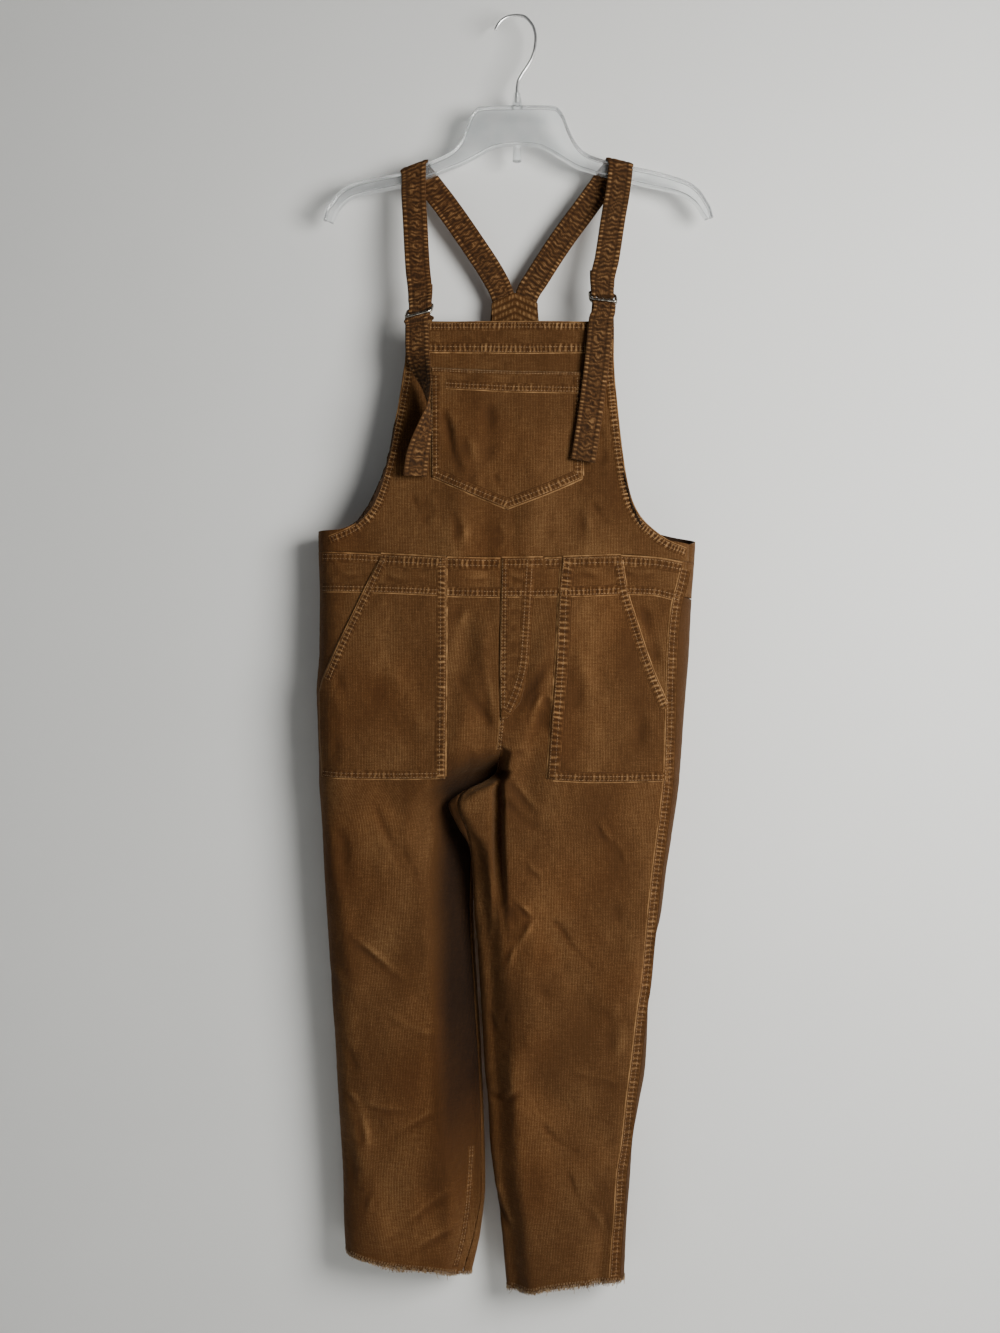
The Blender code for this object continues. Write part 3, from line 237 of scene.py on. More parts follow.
def grain_noise(tree, across, down, detail, roughness):
    noise = node(tree, "ShaderNodeTexNoise", Scale=1.0, Detail=detail, Roughness=roughness)
    link(tree, scaled_grain(tree, across, down), noise.inputs["Vector"])
    return noise.outputs["Fac"]


print("bump heights, mm:", CORD_HEIGHT / MM, "and", CRUMPLE_HEIGHT / MM)

# %% [markdown]
# The corduroy is built from those parts. Its patterns are blotches of dye, cords that swell and
# thin, weft that shows through, and flecks of bare ground. Each one only shifts the wear and
# painted shade a little up or down, and that value then picks the colour, so worn seams and
# crests, and the hollows painted dark, keep the same grain as the plain cloth round them.

# %% Corduroy material
def wales(tree, pitch, wobble):
    """A rounded ridge for each cord of the cloth, from 0 to 1, one every `pitch` mm."""
    split = node(tree, "ShaderNodeSeparateXYZ")
    link(tree, scaled_grain(tree, 1.0, 1.0), split.inputs[0])
    turns = maths(tree, "MULTIPLY", split.outputs[0], 2 * math.pi * 1000.0 / pitch)
    ridge = maths(tree, "SINE", maths(tree, "ADD", turns, maths(tree, "MULTIPLY", wobble, 2.5)))
    return times_plus(tree, ridge, 0.5, 0.5)


def corduroy(name, dark, plain, worn, pitch=1.7):
    """Fine corduroy. dark, plain and worn are its colours by wear, and dark is also the painted shade."""
    made, tree, shader = new_material(name, 0.9)
    wear_and_shade = node(tree, "ShaderNodeAttribute", attribute_name="wear_and_shade").outputs["Fac"]
    blotches = grain_noise(tree, 30.0, 17.0, 5.0, 0.62)
    cords = grain_noise(tree, 520.0, 55.0, 3.0, 0.6)
    weft = grain_noise(tree, 60.0, 520.0, 3.0, 0.6)
    flecks = grain_noise(tree, 1100.0, 800.0, 2.0, 0.7)
    ridge = wales(tree, pitch, blotches)
    level = wear_and_shade
    for pattern, reach in ((blotches, 0.07), (cords, 0.07), (weft, 0.07), (flecks, 0.17), (ridge, 0.06)):
        level = maths(tree, "ADD", level, times_plus(tree, pattern, 2 * reach, -reach))
    level = maths(tree, "ADD", level, 0.0, clamp=True)
    colour = colour_ramp(tree, level, [(0.0, dark), (0.5, plain), (1.0, worn)])

    # Large soft areas where the dye has faded to a warmer brown.
    amount = node(tree, "ShaderNodeMapRange", **{"From Min": 0.45, "From Max": 0.68, "To Max": 0.45})
    link(tree, object_noise(tree, 7.0, 2.5, 0.55), amount.inputs["Value"])
    tinted = mixed(tree, 1.0, colour, WARM, "MULTIPLY")
    link(tree, mixed(tree, amount.outputs["Result"], colour, tinted), shader.inputs["Base Color"])

    # The crumpled feel of old cloth under the fine ribs.
    crumple = object_noise(tree, 95.0, 3.0)
    height = maths(tree, "ADD", maths(tree, "MULTIPLY", ridge, CORD_HEIGHT),
                   maths(tree, "MULTIPLY", flecks, CORD_HEIGHT * 1.4))
    height = maths(tree, "ADD", height, maths(tree, "MULTIPLY", crumple, CRUMPLE_HEIGHT))
    bumped(tree, shader, height, 0.8, 1.0)
    shader.inputs["Sheen Weight"].default_value = 0.10
    shader.inputs["Sheen Roughness"].default_value = 0.4
    shader.inputs["Sheen Tint"].default_value = (0.8, 0.55, 0.33, 1.0)
    shader.inputs["Specular IOR Level"].default_value = 0.15
    return made


# DARK and STRAP_DARK stand for the darkest cloth and also for painted shade in hollows and shadows.
DARK, PLAIN, WORN = (0.008, 0.0032, 0.0011), (0.057, 0.0232, 0.0056), (0.35, 0.20, 0.084)
STRAP_DARK, STRAP_PLAIN = (0.005, 0.0020, 0.0008), (0.064, 0.0285, 0.0090)
# The inside of the cloth gets darker copies of the colours, as painted shade where it shows in gaps and
# openings.
SHADED_INNER_DARK, SHADED_INNER_PLAIN, SHADED_INNER_WORN = (0.005, 0.0025, 0.0012), (0.022, 0.011, 0.005), (0.08, 0.047, 0.024)
cloth = corduroy("worn_corduroy", DARK, PLAIN, WORN)
strap_cloth = corduroy("worn_strap_cloth", STRAP_DARK, STRAP_PLAIN, WORN, 1.6)
shaded_inner_cloth = corduroy("inner_side_cloth_painted_shade", SHADED_INNER_DARK, SHADED_INNER_PLAIN, SHADED_INNER_WORN)
print("materials:", [m.name for m in (cloth, strap_cloth, shaded_inner_cloth)])

# %% [markdown]
# ## Thread, metal and plastic
# The thread of the seams and the frayed weft are cotton, a little more yellow than the cloth.
# The buckle rings are plated wire that has dulled to an old silver. The hook is bright steel,
# and the hanger's body is clear moulded plastic, which shows mostly at its edges.

# %% Other materials
def cotton(name, dark, light):
    made, tree, shader = new_material(name, 0.9)
    wear_and_shade = node(tree, "ShaderNodeAttribute", attribute_name="wear_and_shade").outputs["Fac"]
    link(tree, colour_ramp(tree, wear_and_shade, [(0.0, dark), (1.0, light)]), shader.inputs["Base Color"])
    shader.inputs["Sheen Weight"].default_value = 0.2
    return made


def plated(name, colour, dull, roughness):
    made, tree, shader = new_material(name, roughness, 1.0)
    spots = object_noise(tree, 420.0, 3.0, 0.6)
    link(tree, colour_ramp(tree, spots, [(0.35, dull), (0.62, colour)]), shader.inputs["Base Color"])
    bumped(tree, shader, spots, 0.25, 0.0001)
    return made


def clear_plastic(name):
    made, tree, shader = new_material(name, 0.09)
    haze = object_noise(tree, 60.0, 3.0)
    tints = colour_ramp(tree, haze, [(0.3, (0.86, 0.89, 0.9)), (0.7, (0.97, 0.98, 0.98))])
    link(tree, tints, shader.inputs["Base Color"])
    bumped(tree, shader, haze, 0.15, 0.0004)
    shader.inputs["Transmission Weight"].default_value = 0.9
    shader.inputs["IOR"].default_value = 1.47
    return made


thread = cotton("seam_thread", (0.075, 0.038, 0.014), (0.33, 0.205, 0.10))
fray = cotton("loose_cotton", (0.06, 0.031, 0.011), (0.40, 0.25, 0.105))
ring_metal = plated("old_silver", (0.50, 0.47, 0.41), (0.10, 0.09, 0.075), 0.26)
steel = plated("bright_steel", (0.86, 0.87, 0.86), (0.7, 0.7, 0.7), 0.3)
plastic = clear_plastic("moulded_plastic")
print("materials:", [m.name for m in (thread, fray, ring_metal, steel, plastic)])

# %% [markdown]
# ## Small tools
# A maker's curve is given by a few measured points. `smooth_through` reads a smooth curve
# through them that never swings past them, and `table_at` does it for a whole row of a table.

# %% Curves through points
def smooth_through(xs, ys, x):
    """A smooth curve through the points (xs, ys), with no overshoot, read at x."""
    xs, ys = np.asarray(xs, float), np.asarray(ys, float)
    step = np.diff(xs)
    slope = np.diff(ys) / step
    tangent = np.zeros(len(xs))
    same_way = slope[:-1] * slope[1:] > 0
    both = np.where(same_way, slope[:-1] + slope[1:], 1.0)
    tangent[1:-1] = np.where(same_way, 2 * slope[:-1] * slope[1:] / both, 0.0)
    tangent[0], tangent[-1] = slope[0], slope[-1]
    x = np.clip(x, xs[0], xs[-1])
    i = np.clip(np.searchsorted(xs, x) - 1, 0, len(xs) - 2)
    t = (x - xs[i]) / step[i]
    return (
        (2 * t**3 - 3 * t**2 + 1) * ys[i]
        + (t**3 - 2 * t**2 + t) * step[i] * tangent[i]
        + (3 * t**2 - 2 * t**3) * ys[i + 1]
        + (t**3 - t**2) * step[i] * tangent[i + 1]
    )


def columns_at(x, s, table, read=np.interp):
    """Every column of a table whose rows stand at s, read at x."""
    return np.stack([read(x, s, column) for column in np.transpose(table)], -1)


def smoothly(x, s, column):
    return smooth_through(s, column, x)


def table_at(rows, drop):
    """Every column of a table read at one drop, as a row of the same kind."""
    table = np.array(rows, float)
    return type(rows[0])(*columns_at(drop, table[:, 0], table, smoothly))


def rows_of(kind, *rows):
    """A list of rows with named fields, from plain ones."""
    return [kind(*row) for row in rows]


def line_at(points, x):
    """A line across the garment, given as (x, drop) points, read at x."""
    return smooth_through(*np.transpose(points), x)


def smoothstep(t):
    t = np.clip(t, 0.0, 1.0)
    return t * t * (3 - 2 * t)


def along(points):
    """The distance along a polyline at each of its points."""
    steps = np.linalg.norm(np.diff(points, axis=0), axis=1)
    return np.concatenate([[0.0], np.cumsum(steps)])


def unit(vectors):
    return vectors / np.maximum(np.linalg.norm(vectors, axis=-1, keepdims=True), 1e-9)


def soft_noise(x, drop, size, seed):
    """An uneven field of soft waves, each about `size` long, between -1 and 1."""
    chance = np.random.default_rng(seed)
    total = np.zeros(np.broadcast(x, drop).shape)
    for _ in range(7):
        angle = chance.uniform(0, 2 * math.pi)
        length = size * chance.uniform(0.6, 1.7)
        total = total + np.sin(
            2 * math.pi * (x * math.cos(angle) + drop * math.sin(angle)) / length
            + chance.uniform(0, 2 * math.pi)
        )
    return total / 4.2


print("half way:", smooth_through([0, 1, 2], [0.0, 1.0, 1.5], [0.5])[0])

# %% [markdown]
# ## The form of a leg
# Laid flat on a table a leg is two layers of cloth. On a hanger it opens a little into a flat
# tube. At each level that tube is a closed outline, set by a few sizes: where the outer fold
# and the inner edge lie, and how far forward and back the two layers stand. The tables hold
# those sizes, which are the same that the plain model was cut to.

# %% Sizes of the legs and trunk
CLOTH = 1.6              # wall of a garment panel
SEAM_HALF_GAP = 0.15     # each side of a seam stands back by this, 0.3 mm in all
INNER_HALF_GAP = 0.3     # the same for the inseam, which bends sharply

SIDE_EDGE = 26.0         # how far in from the side fold a panel starts to turn
CROTCH = 832.0           # drop at which the trunk divides into two legs

# A row for each level of a leg and the half trunk above it.
#   out, inn      x of the outer fold and of the inner edge
#   front, back   y of the flat of the front and of the back
#   in_front, in_back   y of the front and back cloth at the inner edge
#   turn_front, turn_back   width over which each turns from its flat to the inner edge
#   seam          how far the side seam lies in from the outer fold, + on the front
#   inseam        how far the inseam lies in from the inner fold, + on the front
Level = namedtuple(
    "Level", "drop out inn front back in_front in_back turn_front turn_back seam inseam"
)

LEVELS_R = rows_of(Level,
    (300, -219, -17, -14, 12, -14, 12, 20, 20, -12, 0),
    (430, -219, -17, -21, 13, -21, 13, 20, 20, -12, 0),
    (560, -219, -17, -30, 17, -30, 17, 20, 20, -12, 0),
    (640, -217, -18, -36, 21, -36, 21, 20, 20, -12, 0),
    (700, -217, -20, -40, 24, -40, 24, 20, 20, -12, 0),
    (747, -220, -19, -42, 25, -42, 25, 20, 20, -12, 0),
    (785, -219, -18, -43, 26, -43, 26, 22, 20, -12, 0),
    (804, -218, -18, -43, 26, -39, 23, 30, 22, -12, 0),
    (820, -217, -20, -43, 26, -21, 12, 46, 34, -12, 0),
    (832, -217, -22, -43, 26, -3, 4, 60, 40, -12, 0),
    (844, -217, -26, -43, 26, 3, 11, 70, 36, -12, 0),
    (866, -216, -38, -42, 26, 4, 14, 80, 30, -12, 3),
    (915, -213, -48, -41, 25, 2, 14, 66, 26, -12, 6),
    (988, -209, -48, -39, 24, 0, 14, 50, 24, -12, 8),
    (1084, -203, -43, -36, 23, -2, 13, 44, 24, -12, 8),
    (1197, -196, -37, -33, 22, -4, 12, 40, 24, -12, 8),
    (1293, -191, -35, -31, 21, -6, 10, 34, 24, -12, 9),
    (1340, -190, -40, -30, 20, -8, 9, 30, 24, -12, 12),
    (1385, -187, -50, -29, 20, -9, 8, 26, 24, -12, 15),
    (1415, -186, -56, -28, 20, -9, 8, 24, 24, -12, 16),
)
LEVELS_L = rows_of(Level,
    (300, 197, -17, -14, 12, -14, 12, 20, 20, 8, 0),
    (430, 197, -17, -21, 13, -21, 13, 20, 20, 8, 0),
    (560, 197, -17, -30, 17, -30, 17, 20, 20, 8, 0),
    (640, 192, -18, -36, 21, -36, 21, 20, 20, 14, 0),
    (700, 189, -20, -40, 24, -40, 24, 20, 20, 20, 0),
    (747, 185, -19, -42, 25, -42, 25, 20, 20, 20, 0),
    (785, 182, -18, -43, 26, -43, 26, 18, 20, 18, 0),
    (804, 181, -18, -43, 26, -39, 23, 15, 30, 17, 0),
    (820, 180, -20, -43, 26, -21, 11, 13, 44, 16, 0),
    (832, 179, -22, -43, 26, -8, 0.5, 12, 56, 15, 0),
    (838, 178.5, -27, -43, 26, -14, -4.5, 11, 60, 15, 0),
    (844, 178, -38, -43, 26, -22, -11.5, 10, 64, 14, 0),
    (852, 177, -57, -43, 26, -30, -18, 10, 70, 14, 2),
    (866, 175, -75, -43, 26, -34, -21, 10, 72, 14, 15),
    (893, 171, -64, -42, 26, -34, -22, 12, 66, 13, 12),
    (915, 168, -52, -41, 25, -30, -16, 14, 56, 13, 3),
    (940, 164, -49.5, -40, 25, -24, -8, 16, 44, 12, -4),
    (988, 158, -47, -39, 24, -20, -2, 20, 34, 10, -8),
    (1028, 149, -43.5, -38, 23, -18, 2, 22, 30, 6, -8),
    (1084, 144.5, -40, -36, 23, -16, 4, 24, 28, 6, -8),
    (1157, 141, -36, -34, 22, -15, 4, 24, 26, 11, -8),
    (1197, 134, -32, -33, 22, -14, 4, 24, 24, 10, -8),
    (1240, 127, -30, -32, 21, -13, 4, 24, 24, 7, -8),
    (1287, 124, -24, -31, 21, -12, 4, 22, 24, 11, -8),
    (1340, 120, -17, -30, 20, -11, 4, 22, 24, 9, -8),
    (1385, 118, -13, -29, 20, -10, 4, 22, 24, 10, -8),
    (1415, 116, -10, -28, 20, -10, 4, 22, 24, 10, -8),
)
LEVELS = {"r": LEVELS_R, "l": LEVELS_L}
OUTWARD = {"r": -1, "l": 1}

# The long upright fold beside the crotch, in the front of the wearer's left leg.
Groove = namedtuple("Groove", "drop x half_width depth")
GROOVE = rows_of(Groove,
    (590, -6, 5, 0),
    (780, -7, 5, 0),
    (812, -9, 4, 0),
    (824, -11, 3.6, 0),
    (832, -13, 3.4, 4),
    (838, -17, 3.7, 10),
    (845, -20, 4.2, 15),
    (853, -21, 4.5, 17),
    (895, -21, 5, 18),
    (940, -20, 6, 13),
    (1000, -19, 8, 5),
    (1060, -18, 12, 1.5),
    (1110, -15, 13, 0),
    (1420, 20, 16, 0),
)

# Lines across the front, given as (x, drop).
WAIST_TOP = [(-222, 592), (-150, 594.5), (-78, 599), (28, 599), (113, 596), (165, 601), (200, 606)]
WAIST_BOTTOM = [(-222, 633), (-166, 634), (-90, 638.5), (44, 640.5), (109, 637), (136, 635), (200, 646)]
HEM = {
    "r": [(-190, 1358), (-168, 1363), (-134, 1371), (-86, 1376), (-64, 1384), (-40, 1386)],
    "l": [(-20, 1401), (8, 1400), (32, 1395), (67, 1390.5), (100, 1388), (120, 1389)],
}
SIDE_TOP = {"r": 570.0, "l": 585.0}   # drop of the low point of each armhole

# The free edge of the bib and of the back, from the side seam up to the top corner, as
# (distance around the cloth from the centre line, drop).
ARMHOLE_FRONT = {
    "r": [(180, 569.2), (162, 563.5), (151, 556), (141, 545), (134.5, 532), (128.5, 514),
          (121.5, 486), (115.5, 450), (110.5, 417), (105.8, 386), (103.6, 362), (102, 340)],
    "l": [(177, 579.5), (158, 569.5), (149, 559), (142, 545), (137.5, 528), (133, 508),
          (128.5, 480), (125, 455), (122.5, 425), (121, 395), (120.4, 365), (120, 340)],
}
ARMHOLE_BACK = {
    "r": [(150, 552), (118, 528), (92, 496), (68, 450), (50, 405), (36, 368), (27.5, 340), (25, 316)],
    "l": [(150, 562), (118, 534), (92, 498), (68, 450), (50, 405), (36, 368), (27.5, 340), (25, 316)],
}
BACK_CENTRE = -2.5        # x of the middle of the back, where the straps meet
BACK_PEAK = 303.0         # drop of the point of the back's top edge

FRONT_STEPS = {
    "r": (0.4, 0.5, 0.8, 1.2, 1.5, 1.6, 1.6, 1.6, 1.5, 1.3, 0.9, 0.7, 0.6),
    "l": (0.5, 0.5, 0.3, 0.3, 0.3, 0.3, 1.2, 1.7, 1.7, 1.7, 1.6, 1.3, 0.9, 0.7, 0.6),
}
BACK_STEPS = (0.5, 0.5, 0.7, 1.3, 2.0, 2.2, 2.1, 1.8, 1.2, 0.8, 0.5, 0.4, 0.35)
# Columns of the left front that follow the upright fold, and where they stand in its width.
GROOVE_COLUMNS = {2: -1.5, 3: -0.85, 4: 0.0, 5: 0.85, 6: 1.5}

# %% [markdown]
# The largest folds are broad and soft, because corduroy is thick. Each one runs between two
# points and is a ridge or, where its height is negative, a trough.

# %% Largest folds
Fold = namedtuple("Fold", "x0 drop0 x1 drop1 half_width height")
FRONT_FOLDS = rows_of(Fold,
    (-60, 470, -66, 590, 15, 3),
    (-18, 545, -22, 640, 16, -2.5),
    (20, 480, 12, 600, 17, 2.5),
    (60, 560, 72, 470, 16, -2),
    (-28, 690, -62, 800, 16, 4),
    (-60, 660, -40, 770, 15, -3.5),
    (12, 790, 30, 700, 12, 4),
    (8, 860, 22, 770, 14, -4),
    (-135, 860, -100, 960, 18, -2.5),
    (-205, 860, -190, 940, 12, -3.5),
    (-200, 960, -176, 1060, 13, 3),
    (-196, 1160, -160, 1215, 14, -4),
    (-176, 1215, -150, 1330, 15, 3.5),
    (-90, 1180, -165, 1270, 16, -2.5),
    (40, 1020, 78, 1090, 16, -3.5),
    (-4, 1010, -12, 1120, 14, -4),
    (20, 1110, -8, 1160, 14, 3),
    (30, 1180, 96, 1230, 17, -2.5),
    (96, 1330, 88, 1400, 10, -5),
    (-78, 1350, -95, 1290, 14, -3),
)
BACK_FOLDS = rows_of(Fold,
    (-120, 640, -40, 700, 18, -3),
    (90, 640, 20, 705, 18, -3),
    (-20, 720, -70, 830, 16, -3),
    (0, 730, 50, 840, 16, -3),
    (-150, 860, -90, 900, 17, -4),
    (120, 860, 50, 900, 17, -4),
    (-170, 1000, -90, 1050, 18, -4),
    (110, 1010, 20, 1060, 18, -4),
    (-90, 1100, -150, 1180, 16, 3),
    (20, 1110, 80, 1200, 16, 3),
    (-160, 1230, -80, 1290, 18, -3),
    (90, 1240, 10, 1290, 18, -3),
)

print("large folds:", len(FRONT_FOLDS), "in front and", len(BACK_FOLDS), "behind")

# %% [markdown]
# From the tables the outline of a leg can be drawn at any level. Seams and columns are then
# placed by their distance along it, so a panel keeps its true width where the leg turns.

# %% The outline at one level
def fold_height(folds, x, drop):
    """The height that the soft folds add at a point of the cloth."""
    total = np.zeros_like(np.asarray(x, float))
    for f in folds:
        run = np.array([f.x1 - f.x0, f.drop1 - f.drop0], float)
        length = np.linalg.norm(run)
        run /= length
        t = (x - f.x0) * run[0] + (drop - f.drop0) * run[1]
        off = (x - f.x0) * run[1] - (drop - f.drop0) * run[0]
        past = np.maximum(0, np.maximum(-t, t - length))
        total += f.height * np.exp(-(off / f.half_width) ** 2 - (past / (1.6 * f.half_width)) ** 2)
    return total


class Ring:
    """The outline of one leg, or of half the trunk, at one drop.

    It runs from the inner edge along the front to the outer fold and back along the back.
    A distance s along it says where a seam or a column lies. Below the crotch the ring is
    closed and s wraps round.
    """

    FRONT_POINTS, EDGE_POINTS, CAP_POINTS = 60, 14, 7

    def __init__(self, side, drop):
        self.side, self.drop = side, drop
        self.way = OUTWARD[side]
        self.level = lv = table_at(LEVELS[side], drop)
        self.closed = drop >= CROTCH
        self.inner_gap = INNER_HALF_GAP if self.closed else SEAM_HALF_GAP
        q_out, q_in = lv.out * self.way, lv.inn * self.way
        lip = (lv.in_back - lv.in_front) / 2 if self.closed else 0.0
        q_flat = np.linspace(q_in + lip, q_out - SIDE_EDGE, self.FRONT_POINTS)
        turn = np.linspace(0, math.pi / 2, self.EDGE_POINTS)[1:]
        q = np.concatenate([q_flat, q_out - SIDE_EDGE + SIDE_EDGE * np.sin(turn)])
        front = self.face(q, q_in + lip, q_out, lv.front, lv.in_front, lv.turn_front, FRONT_FOLDS, -1)
        back = self.face(q, q_in + lip, q_out, lv.back, lv.in_back, lv.turn_back, BACK_FOLDS, 1)
        if side == "l":
            g = table_at(GROOVE, drop)
            front = front + g.depth * np.exp(-((q - g.x) / g.half_width) ** 4)
        parts = [np.stack([q, front], 1), np.stack([q, back], 1)[-2::-1]]
        if self.closed:
            angle = np.linspace(0, math.pi / 2, self.CAP_POINTS)[:-1]
            middle = (lv.in_front + lv.in_back) / 2
            cap = np.stack([q_in + lip - lip * np.cos(angle), middle - lip * np.sin(angle)], 1)
            parts = [cap] + parts + [(cap * (1, -1) + (0, 2 * middle))[::-1]]
            self.front_start = self.CAP_POINTS - 1
        else:
            self.front_start = 0
        self.points = np.concatenate(parts)
        self.front_end = self.front_start + len(q)
        self.s = along(self.points)
        self.length = self.s[-1]

    def face(self, q, q_in, q_out, flat, inner, width, folds, outward):
        """y of the front or the back at each q."""
        y = inner + (flat - inner) * smoothstep((q - q_in) / width)
        weight = smoothstep((q_out - 8 - q) / 20) * smoothstep((q - q_in - 5) / 14)
        y = y + outward * fold_height(folds, q * self.way, self.drop) * weight
        middle = (self.level.front + self.level.back) / 2
        t = np.clip((q - (q_out - SIDE_EDGE)) / SIDE_EDGE, 0, 1)
        return middle + (y - middle) * np.sqrt(1 - t * t)

    def front_s(self, x):
        """The distance along the ring at which its front passes x."""
        part = slice(self.front_start, self.front_end)
        return float(np.interp(x * self.way, self.points[part, 0], self.s[part]))

    def seam_s(self):
        """Where the side seam lies."""
        inset = self.level.seam
        q = self.level.out * self.way - abs(inset)
        if inset > 0:
            return self.front_s(q * self.way)
        part = slice(self.front_end - 1, self.front_end + self.FRONT_POINTS)
        return float(np.interp(-q, -self.points[part, 0], self.s[part]))

    def inseam_s(self):
        return self.level.inseam if self.closed else 0.0

    def at(self, s):
        """The points (x, y) of the ring at the distances s."""
        s = np.mod(s, self.length) if self.closed else np.clip(s, 0, self.length)
        return np.stack([
            np.interp(s, self.s, self.points[:, 0]) * self.way,
            np.interp(s, self.s, self.points[:, 1]),
        ], -1)


print("outline of the right knee:", round(Ring("r", 1000).length), "mm round")
